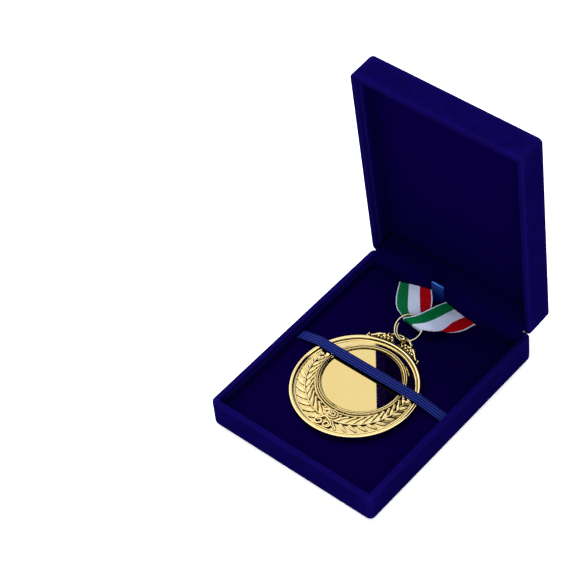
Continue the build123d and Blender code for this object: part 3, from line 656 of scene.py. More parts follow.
def wallRows(low, high, isLid):
    # the lining strip round the three plain walls, from one end of the hinge wall to the other
    halfX, halfY = case["width"] / 2 - case["wall"], case["depth"] / 2 - case["wall"]
    loop = roundedLoop(halfX, halfY, case["cavityCorner"])
    strip = [p for p in loop if not (p[1] > halfY - 0.01 and abs(p[0]) < halfX - 0.6)]
    first = next(i for i, p in enumerate(strip) if p[0] < 0 and p[1] > halfY - 0.3)
    rows = []
    for s in range(lining["steps"] + 1):
        rise = low + (high - low) * s / lining["steps"]
        z = case["lidTop"] - rise if isLid else rise
        row = [(x, y, z) for x, y in strip[first:] + strip[:first]]
        rows.append([opened(p) for p in row] if isLid else row)
    return rows


def makeCover(body, isLid, rim):
    # the velvet lies inwards of its rows; the lid's rows run the other way round
    height = rim - (0.0 if isLid else case["foot"])
    inwards = (case["clothThickness"], 0.0) if isLid else (0.0, case["clothThickness"])
    layers = clothLayers(trayRows(height, isLid), *inwards, True)
    name, replaced = body + "Velvet", (body + "_cover",)
    piece = clothPiece(
        name, layers, outerVelvet, replaced, True, crease=60, capped=isLid
    )
    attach(piece, body)


def makeLining(body, isLid, rim):
    low, high = lining[body], rim - case["turnIn"] - lining["gap"]
    inwards = (0.0, lining["thickness"]) if isLid else (lining["thickness"], 0.0)
    layers = clothLayers(wallRows(low, high, isLid), *inwards)
    name, replaced = body + "WallVelvet", (body + "_wall_lining",)
    piece = clothPiece(name, layers, liningVelvet, replaced)
    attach(piece, body)


for dress in (makeCover, makeLining):
    dress("base", False, case["baseHeight"])
    dress("lid", True, case["lidHeight"])
print("tray velvet made")

# the lid's panel is velvet over card over a thin foam sheet, so its face swells a little
panel = {
    "halfX": 46.55,
    "halfY": 59.75,
    "low": 2.55,
    "face": 5.3,
    "swell": 0.3,
    "edge": 0.9,
    "across": 36,
    "along": 44,
}


def makePanel():
    wide, long = panel["across"] + 1, panel["along"] + 1
    points = []
    for side, height in ((1, panel["face"]), (-1, panel["low"])):
        for r in range(long):
            v = sin((2 * r / (long - 1) - 1) * pi / 2)
            for c in range(wide):
                u = sin((2 * c / (wide - 1) - 1) * pi / 2)
                x, y = u * panel["halfX"], v * panel["halfY"]
                fromEdge = min(panel["halfX"] - abs(x), panel["halfY"] - abs(y))
                z = height
                if side > 0:  # the swell, less the turn of the cloth over the card's edge
                    near = min(1.0, fromEdge / panel["edge"])
                    turned = 1.4 * (1 - sqrt(near * (2 - near)))
                    z += panel["swell"] * ((1 - u * u) * (1 - v * v) ** 0.5 - turned)
                points.append(opened((x, y, case["lidTop"] - z)))
    count = wide * long
    faces = gridFaces(long, wide) + gridFaces(long, wide, start=count)
    rim = list(range(wide)) + [r * wide + wide - 1 for r in range(1, long)]
    rim += [(long - 1) * wide + c for c in range(wide - 2, -1, -1)]
    rim += [r * wide for r in range(long - 2, 0, -1)]
    for a, b in zip(rim, rim[1:] + rim[:1]):
        faces.append((a, b, count + b, count + a))
    replaced = ("lid_panel", "lid_pad")
    piece = makePiece(
        "lidPanelPad", points, faces, liningVelvet, replaced, crease=50
    )
    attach(piece, "lid")


makePanel()

platform = {
    "top": 11.2,
    "bottom": 3.4,
    "halfX": 46.4,
    "front": -59.6,
    "back": 56.7,
    "edge": 0.5,
    "notchLeft": -30.5,
    "notchRight": 22.5,
    "notchDepth": 1.0,
    "strapNotch": 1.7,
    "strapHalf": 3.0,
}


def insetOutline(outline, inset):
    # an anticlockwise outline with square corners, moved inwards
    moved = []
    for i, (x, y) in enumerate(outline):
        px, py = outline[i - 1]
        nx, ny = outline[(i + 1) % len(outline)]
        first = Vector((x - px, y - py)).normalized()
        second = Vector((nx - x, ny - y)).normalized()
        moved.append((x + inset * (-first.y - second.y), y + inset * (first.x + second.x)))
    return moved


def makePlatform():
    p, s = platform, strap["y"]
    half, back, front, top, edge = p["halfX"], p["back"], p["front"], p["top"], p["edge"]
    inner = half - p["strapNotch"]
    low, high = s - p["strapHalf"], s + p["strapHalf"]
    notch = back - p["notchDepth"]
    outline = [(-half, front), (half, front), (half, low), (inner, low), (inner, high)]
    outline += [(half, high), (half, back), (p["notchRight"], back), (p["notchRight"], notch)]
    outline += [(p["notchLeft"], notch), (p["notchLeft"], back), (-half, back), (-half, high)]
    outline += [(-inner, high), (-inner, low), (-half, low)]
    rings = [(0.0, p["bottom"]), (0.0, top - edge)]
    for turn in (radians(k) for k in (30, 60, 90)):
        rings.append((edge * (1 - cos(turn)), top - edge * (1 - sin(turn))))
    rings.append((edge + 0.12, top))
    rows = [[(x, y, z) for x, y in insetOutline(outline, inset)] for inset, z in rings]
    points, faces = [], []
    addRings(points, faces, rows, closed=(-1,))
    replaced = ("insert_velvet",)
    piece = makePiece(
        "platformCloth", points, faces, platformVelvet, replaced, crease=50
    )
    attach(piece, "insert")


makePlatform()
print("panel and platform made")

# velvet strip and spring plate over the hinge; distances on the lid are from the pin
hinge = {
    "stripY": 57.3,
    "stripLow": 3.2,
    "stripBend": 16.2,
    "lidLine": 3.62,
    "lidFar": 10.87,
    "halfCloth": 0.2,
    "under": 0.5,  # the spring lies so far below the strip
    "bend": 1.44,
    "halfLining": 46.05,
    "halfSpring": 46.2,
    "channelY": 57.95,
    "channelLow": 10.4,
    "channelTop": 14.53,
    "springEnd": 2.72,
    "across": 46,
    "springAcross": 12,
    "spacing": 0.8,
}


def lidLine(inward, upward):
    # a point given from the pin as it lies with the lid shut, at its open place
    return (0, *opened((0, case["hingeY"] - inward, case["hingeZ"] + upward))[1:])


def bandRows(path, half, across):
    return [[(half * (2 * c / across - 1), p.y, p.z) for c in range(across + 1)] for p in path]


def makeHingeCloth():
    cloth, under, line = hinge["halfCloth"], hinge["under"], hinge["lidLine"]
    corners = [(0, hinge["stripY"], hinge["stripLow"]), (0, hinge["stripY"], hinge["stripBend"])]
    corners += [lidLine(line, -0.4), lidLine(line, hinge["lidFar"])]
    path = roundedPath(corners, hinge["bend"], 6, hinge["spacing"])
    rows = bandRows(path, hinge["halfLining"], hinge["across"])
    layers = clothLayers(rows, cloth, cloth)
    piece = clothPiece("hingeVelvet", layers, liningVelvet, ("hinge_lining",))
    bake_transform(piece)
    # the spring follows the strip from below, up out of its channel and on to the lid
    corners = [(0, hinge["channelY"], hinge[part]) for part in ("channelLow", "channelTop")]
    corners.append((0, hinge["stripY"] + under, hinge["stripBend"] - under / 2))
    corners += [lidLine(line - under, 0.0), lidLine(line - under, 2.9)]
    corners += [lidLine(hinge["springEnd"], 4.4), lidLine(hinge["springEnd"], 8.2)]
    path = roundedPath(corners, 0.5, 4, hinge["spacing"])
    rows = bandRows(path, hinge["halfSpring"], hinge["springAcross"])
    layers, replaced = clothLayers(rows, cloth, cloth), ("hinge_spring",)
    name = "hingeSpringPlate"
    piece = clothPiece(name, layers, springSteel, replaced, crease=40)
    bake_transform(piece)


makeHingeCloth()
print("hinge strip made")


def strapSection():
    # round the strap: ribbed top from one edge to the other, then the ribbed underside
    section, across = [], 32
    half, thick = strap["width"] / 2, strap["thickness"] / 2
    for side in (1, -1):
        for c in range(across):
            u = (2 * c / across - 1) * side
            rib = abs(sin(pi * strap["ribs"] * (u + 1) / 2))
            soft = (1 - abs(u) ** 10) ** 0.5
            section.append((u * half, side * soft * (thick - strap["ribDepth"] * (1 - rib))))
    return section


def makeStrap():
    # two tails that stay put under the platform, and two halves that run up from the slots over
    # the medal
    section, board, under = strapSection(), strap["board"], strap["under"]
    for part, side, sign in (
        ("Tail", "Left", -1), ("Tail", "Right", 1), ("", "Left", -1), ("", "Right", 1)
    ):
        slot = sign * strap["slot"]
        if part:
            ends = [(sign * strap["tailFrom"], under), (slot, under), (slot, board)]
        else:  # from its slot up to the medal's rim, then level to where the halves meet
            edge = strap["middle"] + sign * strap["overMedal"]
            ends = [(slot, board), (slot, board + 1.0), (edge, strap["top"])]
            ends.append((strap["middle"], strap["top"]))
        path = roundedPath([(x, 0, z) for x, z in ends], strap["bend"], 6)
        rows, uv, length = [], [], 0.0
        for i, p in enumerate(path):
            ahead = path[min(i + 1, len(path) - 1)] - path[max(i - 1, 0)]
            normal = Vector((-ahead.z, 0, ahead.x)).normalized()
            if i:
                length += (p - path[i - 1]).length
            rows.append([(p + normal * w) + Vector((0, strap["y"] + u, 0)) for u, w in section])
            uv += [(u, length) for u, w in section]
        points, faces = [], []
        addRings(points, faces, rows)
        name, replaced = "strap" + part + side, ("elastic_strap",)
        piece = makePiece(name, points, faces, elastic, replaced, uv, crease=50)
        if part:
            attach(piece, "insert")
            continue
        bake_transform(piece)


makeStrap()
print("strap made")

medal = {
    "x": -0.9,
    "y": -11.6,
    "radius": 32.5,
    "bottom": 11.5,
    "top": 14.7,
    "field": 13.6,
    "rimHalf": 1.02,  # the rim is a round this wide either side and this high
    "rimRound": 0.9,
    "bezelY": -6.7,
    "plateRadius": 19.8,
    "bezelWidth": 2.45,
    "bezelHeight": 0.9,
    "bezelFoot": 0.8,
    "margin": 3.5,  # from the rim's edge to the field
    "troughWidth": 4.05,
    "troughFoot": -86.5,  # middle of the wreath, and how far round its trough goes and fades
    "troughEnd": 104.0,
    "troughFade": 8.0,
    "steps": 180,
}
# inside of the rim: (in from its edge, below its top)
rimProfile = [(2.12, 1.15), (2.36, 1.15), (2.44, 0.95), (2.58, 0.72)]
rimProfile += [(2.8, 0.6), (3.05, 0.6), (3.25, 0.72)]
# trough round the bezel and the flange inside it: (out from the bezel, above the field)
troughProfile = [(3.95, 0.0), (3.85, 0.0), (3.75, -1.2), (1.3, -1.2), (1.22, 0.25)]
troughProfile += [(1.1, 0.35), (0.55, 0.35), (0.43, 0.25), (0.38, -0.4)]
# bezel, two rings with a groove between them: (in from its outer edge, below its crown)
bezelProfile = [(0.05, 0.35), (0.15, 0.1), (0.3, 0.0), (0.5, 0.0), (0.65, 0.08), (0.76, 0.3)]
bezelProfile += [(0.8, 1.0), (1.1, 1.0), (1.14, 0.4), (1.25, 0.22), (1.45, 0.14), (1.65, 0.2)]
bezelProfile += [(1.8, 0.42)]


def medalRows():
    # rings from the middle of the underside out, over the rim, across the field to the bezel
    rim, top, field, bottom = (medal[part] for part in ("radius", "top", "field", "bottom"))
    half, low = medal["rimHalf"], top - medal["rimRound"]
    inner, outer = medal["plateRadius"], medal["plateRadius"] + medal["bezelWidth"]
    crown, foot = field + medal["bezelHeight"], field - medal["bezelFoot"]
    edge = rim - medal["margin"]
    rows = [("m", 0.05, bottom), ("m", rim - 0.5, bottom), ("m", rim - 0.15, bottom + 0.1)]
    rows += [("m", rim, bottom + 0.45), ("m", rim, low)]
    for k in range(1, 9):
        turn = radians(180 * k / 8)
        high = medal["rimRound"] * sin(turn) ** 0.45 if k < 8 else 0.0
        rows.append(("m", rim - half + half * cos(turn), low + high))
    rows += [("m", rim - inset, top - drop) for inset, drop in rimProfile]
    rows += [("m", edge + 0.14, field), ("m", edge, field)]
    rows += [("t", out, field + rise) for out, rise in troughProfile]
    rows += [("b", outer, field - 0.5)]
    rows += [("b", outer - inset, crown - drop) for inset, drop in bezelProfile]
    rows += [("b", outer - 1.84, foot), ("b", inner, foot)]
    made = []
    for part, radius, z in rows:
        row = []
        for k in range(medal["steps"]):
            turn = 2 * pi * k / medal["steps"]
            reach = outer if part == "t" else radius
            y = medal["y"] if part == "m" else medal["bezelY"]
            x, y, height = reach * cos(turn), y + reach * sin(turn), z
            if part == "t":  # no wider than the field leaves room for, and none past the leaves
                offset = y - medal["y"]
                away = hypot(x, offset)
                grown = 1 + min(radius, radius / medal["troughWidth"] * (edge - away)) / away
                x, y = x * grown, medal["y"] + offset * grown
                if radius > 1:
                    fromFoot = abs((degrees(turn) - medal["troughFoot"] + 180) % 360 - 180)
                    sunk = (medal["troughEnd"] - fromFoot) / medal["troughFade"]
                    height = field + (z - field) * min(1.0, max(0.0, sunk))
            row.append((medal["x"] + x, y, height))
        made.append(row)
    return made


def makeDisc():
    points, faces = [], []
    addRings(points, faces, medalRows())
    replaced = ("medal_body",)
    piece = makePiece("medalDisc", points, faces, struckGold, replaced, crease=38)
    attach(piece, "medal")


makeDisc()


def makePlate():
    # polished disc set in the bezel, its lip eased
    points, faces, rows = [], [], []
    for inset, drop in ((0.02, 0.79), (0.02, 0.06), (0.1, 0.0)):
        radius, z = medal["plateRadius"] - inset, medal["field"] - drop
        rows.append(circle(medal["x"], medal["bezelY"], radius, z, medal["steps"]))
    addRings(points, faces, rows)
    replaced = ("medal_plate",)
    piece = makePiece("medalPlate", points, faces, mirrorGold, replaced, crease=30)
    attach(piece, "medal")


makePlate()

wreath = {
    "leaves": 10,
    "start": 6.0,
    "end": 98.7,
    "centre": 3.5,
    "outerLean": 42.0,
    "innerLean": 38.0,
    "flange": 1.2,
    "midrib": 0.2,  # depth of the sunk midrib and its width, as shares of the leaf
    "midribWidth": 0.12,
    "roundness": 3.2,
    "stemSteps": 24,
    "curlSteps": 24,
}
# twig at the end of each branch: (degrees on from the last leaf, inwards, radius) of its berries
berries = [(2.5, 0.0, 1.0), (5.5, 0.2, 0.85), (5.5, -0.2, 0.85), (8.5, 0.02, 0.7)]
# bow: (eye's middle across and along, its width, tail's middle across and along, side)
bows = [(-1.2, -32.4, 2.0, -1.3, -38.9, -1), (2.0, -32.1, 2.7, 3.0, -38.4, 1)]


def fieldPlace(turn, inward):
    # a place on the field between rim and bezel, at an angle from the foot of the medal
    angle = radians(turn - 90)
    offset = medal["bezelY"] - medal["y"]
    bezelEdge = medal["plateRadius"] + medal["bezelWidth"]
    rise = offset * sin(angle)
    reach = rise + sqrt(bezelEdge**2 - offset**2 + rise**2)
    room = medal["radius"] - 3.3 - reach
    radius = reach + room * (0.5 + inward)
    return medal["x"] + radius * cos(angle), medal["y"] + radius * sin(angle), room


def addLeaf(points, faces, base, heading, length, width, low, high, lobed):
    # a steep-sided leaf between two heights: slender with a sunk midrib, or a lobe that fills
    # its place by the stem and draws in beyond, so that black slots are left between lobes
    along, across, bend = 16, 12, wreath["roundness"]
    first, turn = len(points), radians(heading)
    for r in range(along + 1):
        t = r / along
        if lobed:
            draw = min(1.0, max(0.0, (t - 0.43) / 0.14))
            half = width / 2 * (1.04 - 0.46 * draw * draw * (3 - 2 * draw))
            end = 1.0
        else:
            half = width / 2 * max(0.0, sin(pi * t**0.85)) ** 0.6
            end = min(1.0, 0.4 + 4 * t, 0.45 + 4.0 * (1 - t))
        for c in range(across + 1):
            s = sin(pi / 2 * (2 * c / across - 1))
            dome = (1 - abs(s) ** bend) ** (1 / bend) if abs(s) < 1 else 0.0
            if not lobed:
                dome *= 1 - wreath["midrib"] * exp(-((s / wreath["midribWidth"]) ** 2))
            u, v = t * length, s * half
            x = base[0] + u * cos(turn) - v * sin(turn)
            y = base[1] + u * sin(turn) + v * cos(turn)
            points.append((x, y, low + (high - low) * dome * (0.85 + 0.15 * t) * end))
    faces += gridFaces(along + 1, across + 1, start=first)


def addTube(points, faces, path, radii, sides=8, flat=1.0):
    # a closed round bar along a path, its radius given at each point
    path, rows = [Vector(p) for p in path], []
    for i, p in enumerate(path):
        ahead = (path[min(i + 1, len(path) - 1)] - path[max(i - 1, 0)]).normalized()
        side = ahead.cross(Vector((0, 0, 1)))
        side = side.normalized() if side.length > 1e-4 else Vector((1, 0, 0))
        rise = side.cross(ahead)
        rows.append([])
        for turn in (2 * pi * k / sides for k in range(sides)):
            out = p + side * radii[i] * cos(turn)
            rows[-1].append(out + rise * radii[i] * flat * sin(turn))
    addRings(points, faces, rows)


def addBead(points, faces, x, y, z, radius, high, sides=12, rings=6):
    turns = [pi * r / rings for r in range(1, rings)]
    rows = [circle(x, y, radius * sin(t), z + high * cos(t), sides) for t in turns]
    addRings(points, faces, rows)


def addBranch(points, faces, side):
    # a stem with its leaves in two rows, and a twig of berries at its end
    field, centre, count = medal["field"], wreath["centre"], wreath["stemSteps"]
    step = (wreath["end"] - wreath["start"]) / (wreath["leaves"] - 1)
    stem = []
    for i in range(count + 1):
        x, y, room = fieldPlace(centre + side * (3 + (wreath["end"] - 4) * i / count), 0.06)
        stem.append((x, y, field + 0.55))
    addTube(points, faces, stem, [0.5 - 0.2 * i / count for i in range(count + 1)])
    for i in range(-1, wreath["leaves"]):
        share = max(0, i) / (wreath["leaves"] - 1)
        turn = centre + side * (wreath["start"] + step * i)
        x, y, room = fieldPlace(turn, 0.06)
        pitch = hypot(x - medal["x"], y - medal["y"]) * radians(step)
        for row in (-1, 1) if i >= 0 else (-1,):
            if row > 0:
                lean = wreath["outerLean"] * (1 - 0.15 * share)
                reach, gap, low = room * 0.44 - 0.3, 0.7, field - 0.2
            else:
                lean = wreath["innerLean"] * (1 - 0.2 * share)
                reach, gap, low = room * 0.56 - wreath["flange"], 0.0, field - 1.2
            width = pitch * sin(radians(lean)) - gap
            length = reach / sin(radians(lean))
            heading = turn + (90 - side * 90) - row * side * lean
            high = field + 0.85
            addLeaf(points, faces, (x, y), heading, length, width, low, high, row < 0)
    for ahead, inward, radius in berries:
        x, y, room = fieldPlace(centre + side * (wreath["end"] + ahead), inward)
        addBead(points, faces, x, y, field + 0.2, radius, 0.8)


def addBow(points, faces):
    # where the branches cross at the foot: two eyes towards the bezel, two curled tails
    field, count = medal["field"], wreath["curlSteps"]
    for eyeX, eyeY, wide, curlX, curlY, side in bows:
        for reach, radius, steps in ((1.25, 0.6, 18), (wide, 0.5, 30)):
            eye = []
            for a in (2 * pi * k / steps for k in range(steps + 1)):
                x, y = eyeX + reach * cos(a), eyeY + 0.85 * reach * sin(a)
                eye.append((x, y, field + 0.75))
            addTube(points, faces, eye, [radius] * (steps + 1), flat=1.3)
        tail, radii = [], []
        for t in (k / count for k in range(count + 1)):
            a, reach = radians(100 + 450 * t), 2.3 - 1.4 * t
            x, y = curlX - side * reach * cos(a), curlY + reach * sin(a)
            tail.append((x, y, field + 0.45))
            radii.append(0.55 + 0.15 * sin(pi * t))
        addTube(points, faces, tail, radii)
        link = [(-0.2, -35.0, field + 0.7), (curlX * 0.6, -35.6, field + 0.7), tail[0]]
        addTube(points, faces, link, [0.85, 0.8, 0.55])
    addBead(points, faces, 0.3, -34.7, field + 0.7, 1.2, 0.8)


def makeWreath():
    points, faces = [], []
    for side in (-1, 1):
        addBranch(points, faces, side)
    addBow(points, faces)
    piece = makePiece("medalWreath", points, faces, struckGold, crease=70)
    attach(piece, "medal")


makeWreath()

crest = {
    "x": -1.5,
    "y": -11.0,
    "halfAngle": 27.0,
    "inner": 32.35,
    "low": 11.9,
    "high": 14.1,
    "thick": 0.9,
    "earY": 25.6,
    "earZ": 13.7,
    "earNear": 0.7,
    "earFar": 2.3,
    "earRadius": 1.75,
    "earHole": 1.32,
    "earSteps": 36,
    "stripSteps": 40,
}
# one side of the openwork: (angle from the middle, out from the disc, below the crest's top)
crestFoot = [(25.4, 0.6, 0.6), (23.0, 0.85, 0.6), (20.4, 1.6, 0.6), (17.4, 2.4, 0.6)]
crestFoot += [(14.8, 3.0, 0.6), (13.5, 2.3, 0.6), (14.6, 1.6, 0.6), (15.6, 2.0, 0.6)]
crestArch = [(8.9, 4.7, 0.9), (11.2, 3.7, 0.6), (11.0, 2.5, 0.6), (9.5, 2.5, 0.6), (9.4, 3.2, 0.6)]
# its beads: (angle, out, radius, raised by)
crestBeads = [(27.2, 1.2, 0.78, 0.2), (28.5, 0.2, 0.75, 0.1), (18.4, 0.9, 0.95, 0.3)]
crestBeads += [(15.7, 0.45, 0.7, 0.3), (12.6, 0.75, 0.9, 0.4), (9.3, 0.9, 0.95, 0.3)]
crestBeads += [(7.0, 2.2, 0.95, 0.2), (5.4, 0.8, 0.85, 0.2)]


def crestPoint(angle, out):
    turn = radians(90 + angle)
    radius = crest["inner"] + out
    return crest["x"] + radius * cos(turn), crest["y"] + radius * sin(turn)


def addScroll(points, faces, places, thin, thick):
    # a bar bent through places on the crest, thickest at its middle
    rows = smoothRows([[(*crestPoint(angle, out), z)] for angle, out, z in places], 4)
    turns = [pi * i / (len(rows) - 1) for i in range(len(rows))]
    radii = [thin + (thick - thin) * sin(turn) for turn in turns]
    addTube(points, faces, [row[0] for row in rows], radii, sides=10)


def addEar(points, faces):
    # a short tube bored across for the ring, on a web that joins it to the crest
    near, far, count = crest["earNear"], crest["earFar"], crest["earSteps"]
    hole, radius = crest["earHole"], crest["earRadius"]
    profile = [(hole, near + 0.15), (hole + 0.2, near), (radius - 0.25, near)]
    profile += [(radius, near + 0.25), (radius + 0.15, (near + far) / 2), (radius, far - 0.25)]
    profile += [(radius - 0.25, far), (hole + 0.2, far), (hole, far - 0.15)]
    first, rows = len(points), []
    for reach, x in profile:
        bore = circle(crest["earY"], crest["earZ"], reach, crest["x"] + x, count)
        rows.append([(x, y, z) for y, z, x in bore])
    addRings(points, faces, rows, closed=())
    last = first + (len(rows) - 1) * count
    for k in range(count):
        after = (k + 1) % count
        faces.append((last + k, last + after, first + after, first + k))
    for x in (crest["x"] + near + 0.7, crest["x"] + far - 0.7):
        low = crest["high"] - 1.3
        path = [(x, crest["y"] + crest["inner"] + 0.6, low), (x, crest["earY"] - 2.0, low)]
        path.append((x, crest["earY"] - 1.2, crest["earZ"] - 1.2))
        addTube(points, faces, path, [0.7, 0.6, 0.5])


def makeCrest():
    points, faces, strip = [], [], []
    low, high, half, thick = (crest[part] for part in ("low", "high", "halfAngle", "thick"))
    for i in range(crest["stripSteps"] + 1):  # backing strip along the rim
        angle = -half + 2 * half * i / crest["stripSteps"]
        swell = 0.5 + 1.3 * cos(radians(angle * 90 / half)) ** 0.8
        section = [(-1.2, low), (swell, low), (swell + 0.2, low + 0.4)]
        section += [(swell, low + thick), (-1.2, low + thick)]
        strip.append([(*crestPoint(angle, out), z) for out, z in section])
    addRings(points, faces, strip)
    for side in (-1, 1):
        # a scrolled frame that steps down to a trefoil, with lobes inside it
        foot = [(side * angle, out, high - drop) for angle, out, drop in crestFoot]
        addScroll(points, faces, foot, 0.5, 0.92)
        rise = 12.9 if side > 0 else 13.2
        arch = [(side * -0.4, 6.2, 12.9), (side * 2.6, 6.15, rise), (side * 5.9, 5.5, rise + 0.2)]
        arch += [(side * angle, out, high - drop) for angle, out, drop in crestArch]
        addScroll(points, faces, arch, 0.6, 0.9)
        for angle, out, radius, raised in crestBeads:
            x, y = crestPoint(side * angle, out)
            addBead(points, faces, x, y, high - 0.8 + raised, radius, radius)
    addEar(points, faces)
    replaced = ("medal_hanger",)
    piece = makePiece("medalCrest", points, faces, struckGold, replaced, crease=60)
    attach(piece, "medal")


makeCrest()

ring = {
    "centre": (-1.6, 31.44, 16.42),
    "tilt": 25.0,
    "radius": 6.95,
    "spread": 1.1,
    "wire": 0.5,
    "from": 182.0,
    "sweep": 448.0,
    "lap": 0.58,
    "steps": 112,
}


def makeRing():
    # a jump ring wound a little past one turn, so that its ends lie side by side
    points, faces, path = [], [], []
    tilt = radians(ring["tilt"])
    along = Vector((0, cos(tilt), sin(tilt)))
    normal = Vector((0, -sin(tilt), cos(tilt)))
    for k in range(ring["steps"] + 1):
        t = k / ring["steps"]
        turn = radians(ring["from"] + ring["sweep"] * t)
        reach = ring["radius"] + ring["spread"] * (t - 0.5)
        place = Vector(ring["centre"]) + Vector((reach * cos(turn), 0, 0))
        path.append(place + along * reach * sin(turn) + normal * ring["lap"] * (2 * t - 1))
    addTube(points, faces, path, [ring["wire"]] * len(path), sides=10)
    replaced = ("jump_ring",)
    piece = makePiece("jumpRingWire", points, faces, ringGold, replaced, crease=60)
    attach(piece, "ring")


makeRing()
print("medal made")

# each row runs across the neck ribbon: green edge, two band borders, red edge
ribbonRows = [
    [(-27.5, 56.2, 11.8), (-21.4, 56.2, 14.2), (-14.2, 56.2, 17.0), (-6.8, 56.2, 19.2)],
    [(-23.8, 49.5, 12.9), (-17.0, 50.2, 14.9), (-10.4, 51.2, 16.8), (-4.0, 53.3, 18.4)],
    [(-19.9, 43.7, 13.9), (-13.4, 45.2, 15.0), (-7.5, 47.6, 16.2), (-2.1, 50.6, 17.2)],
    [(-15.6, 39.2, 14.8), (-9.9, 41.2, 15.2), (-4.4, 44.0, 15.6), (-1.2, 47.6, 16.0)],
    [(-10.4, 36.7, 15.0), (-5.0, 38.2, 14.9), (0.2, 40.2, 14.8), (-2.6, 42.3, 15.6)],
    [(-7.7, 34.9, 15.3), (-1.8, 34.4, 15.2), (4.3, 34.2, 15.1), (-1.0, 35.6, 15.8)],
    [(-7.3, 34.1, 17.0), (-1.2, 33.4, 16.9), (4.4, 33.2, 16.6), (-0.8, 34.7, 16.5)],
    [(-6.5, 34.3, 18.5), (-0.5, 33.6, 18.4), (5.1, 33.4, 18.1), (-0.6, 35.2, 17.4)],
    [(-1.8, 37.7, 20.3), (4.5, 36.8, 19.8), (9.9, 35.5, 18.5), (3.7, 38.4, 17.8)],
    [(0.0, 45.1, 19.0), (6.6, 44.0, 18.4), (12.3, 39.8, 16.6), (13.6, 41.8, 14.4)],
    [(1.4, 51.3, 17.8), (7.3, 50.0, 16.8), (12.6, 48.3, 15.0), (18.7, 48.1, 12.9)],
    [(2.5, 56.2, 16.2), (7.2, 56.2, 14.0), (13.7, 56.2, 12.4), (20.3, 56.2, 11.5)],
]


def wideRow(row, parts=5):
    wide = []
    for a, b in zip(row, row[1:]):
        wide += [tuple(Vector(a).lerp(Vector(b), k / parts)) for k in range(parts)]
    return wide + [tuple(row[-1])]


def ribbonPiece(name, layers, replaced):
    piece = clothPiece(name, layers, grosgrain, (replaced,), crease=60)
    # across the ribbon, each column keeps its own share of the real width
    mesh = piece.data
    columns = len(layers[0][0])
    layer = mesh.uv_layers["UVMap"]
    for loop in mesh.loops:
        v = layer.data[loop.index].uv.y
        column = loop.vertex_index % columns
        layer.data[loop.index].uv = (ribbon["width"] / 1000 * column / (columns - 1), v)
    return piece


def makeRibbon():
    rows = smoothRows([wideRow(row) for row in ribbonRows], ribbon["smoothing"])
    halfCloth, width = ribbon["thickness"] / 2, ribbon["width"] / 1000
    top, bottom = clothLayers(rows, halfCloth, halfCloth)
    left, right, end = 2 * ribbon["smoothing"], 9 * ribbon["smoothing"], len(rows) - 1
    outer, inner = ("medal", "insert", 0.0477, 0.0560), ("ring", "medal", 0.0360, 0.0425)
    for name, first, last, node, (fixed, moved, near, far), length in (
        ("ribbonLeft", 0, left, "ribbon_left", outer, 0.0135),
        ("ribbonThroughRing", left, right, "ribbon_loop", inner, 0.0330),
        ("ribbonRight", right, end, "ribbon_right", outer, 0.0115),
    ):
        piece = ribbonPiece(name, [top[first : last + 1], bottom[first : last + 1]], node)
        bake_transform(piece)
    foot, steps = ribbon["dropFoot"], ribbon["dropSteps"]
    for name, row in (("ribbonDropLeft", rows[0]), ("ribbonDropRight", rows[-1])):
        drop = []
        for t in (k / steps for k in range(steps + 1)):
            bow = 0.18 * sin(min(1.0, 4 * t) * pi / 2)
            drop.append([(x, y + bow, z * (1 - t) + foot * t) for x, y, z in row])
        for k in range(1, 4):
            drop.append([(x, y - 1.6 * k, foot - 0.1 * k) for x, y, z in drop[steps]])
        piece = ribbonPiece(name, clothLayers(drop, halfCloth, halfCloth), "ribbon_drop")
        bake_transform(piece)


makeRibbon()

# the rest of the ribbon, folded to and fro under the platform
store = {
    "x": -3.0,
    "back": 46.0,
    "length": 82.0,
    "legs": 7,
    "pitch": 0.8,
    "low": 3.4,
    "halfCloth": 0.13,
    "steps": 14,
    "across": 15,
}


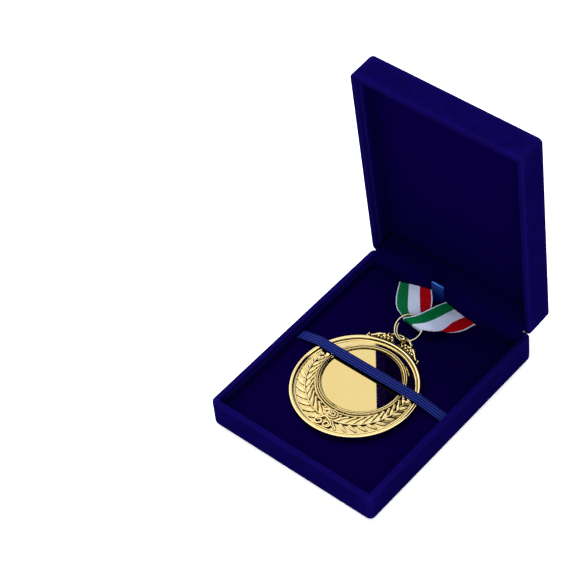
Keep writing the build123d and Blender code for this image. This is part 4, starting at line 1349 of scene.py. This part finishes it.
def makeStore():
    path, across = [], store["across"]
    for leg in range(store["legs"]):
        z = store["low"] + leg * store["pitch"]
        start, end = store["back"] - store["length"], store["back"]
        if leg % 2:
            start, end = end, start
        for k in range(store["steps"] + 1):
            y = start + (end - start) * k / store["steps"]
            path.append((y, z + 0.06 * sin(k * 1.9 + leg)))
        if leg < store["legs"] - 1:
            path.append((end + (0.38 if end > 0 else -0.38), z + store["pitch"] / 2))
    shares = [c / across - 0.5 for c in range(across + 1)]
    rows = [[(store["x"] + ribbon["width"] * s, y, z) for s in shares] for y, z in path]
    layers = clothLayers(rows, store["halfCloth"], store["halfCloth"])
    piece = ribbonPiece("ribbonStore", layers, "ribbon_store")
    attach(piece, "base")


makeStore()
print("ribbon made")

# a folded satin loop behind the platform, with a tail glued under it
tab = {
    "x": -3.0,
    "width": 7.5,
    "y": 56.3,
    "top": 26.3,
    "root": 11.9,
    "lean": 0.8,
    "drift": 0.45,
    "fold": 0.27,
    "halfCloth": 0.11,
    "tailY": 47.3,
    "tailZ": 8.85,
    "tailHalf": 0.25,
    "across": 10,
}


def makeTab():
    fold, root, top, width = tab["fold"], tab["root"], tab["top"], tab["width"]
    columns = range(tab["across"] + 1)
    path = [(-fold, root + (top - root) * k / 12) for k in range(13)]
    for turn in (radians(180 * k / 6) for k in range(1, 6)):
        path.append((-fold * cos(turn), top + fold * sin(turn)))
    path += [(fold, top + (root - top) * k / 12) for k in range(13)]
    rows = []
    for y, z in path:
        high = (z - root) / (top - root)
        row = []
        for share in (c / tab["across"] for c in columns):
            x = tab["x"] + width * (share - 0.5) + tab["drift"] * high
            lean = tab["lean"] * high * (2 * share - 1)
            row.append((x, tab["y"] + y * (1 + 0.5 * high), z + lean))
        rows.append(row)
    layers = clothLayers(rows, tab["halfCloth"], tab["halfCloth"])
    piece = clothPiece("pullTab", layers, tabSatin, ("pull_tab",))
    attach(piece, "tab")
    low = tab["tailZ"]
    path = roundedPath([(0, tab["y"], 11.6), (0, tab["y"], low), (0, tab["tailY"], low)], 0.5)
    shares = [c / tab["across"] - 0.5 for c in columns]
    rows = [[(tab["x"] + width * share, p.y, p.z) for share in shares] for p in path]
    layers = clothLayers(rows, tab["tailHalf"], tab["tailHalf"])
    piece = clothPiece("pullTabTail", layers, tabSatin, ("pull_tab_tail",))
    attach(piece, "insert")


makeTab()
print("tab made")
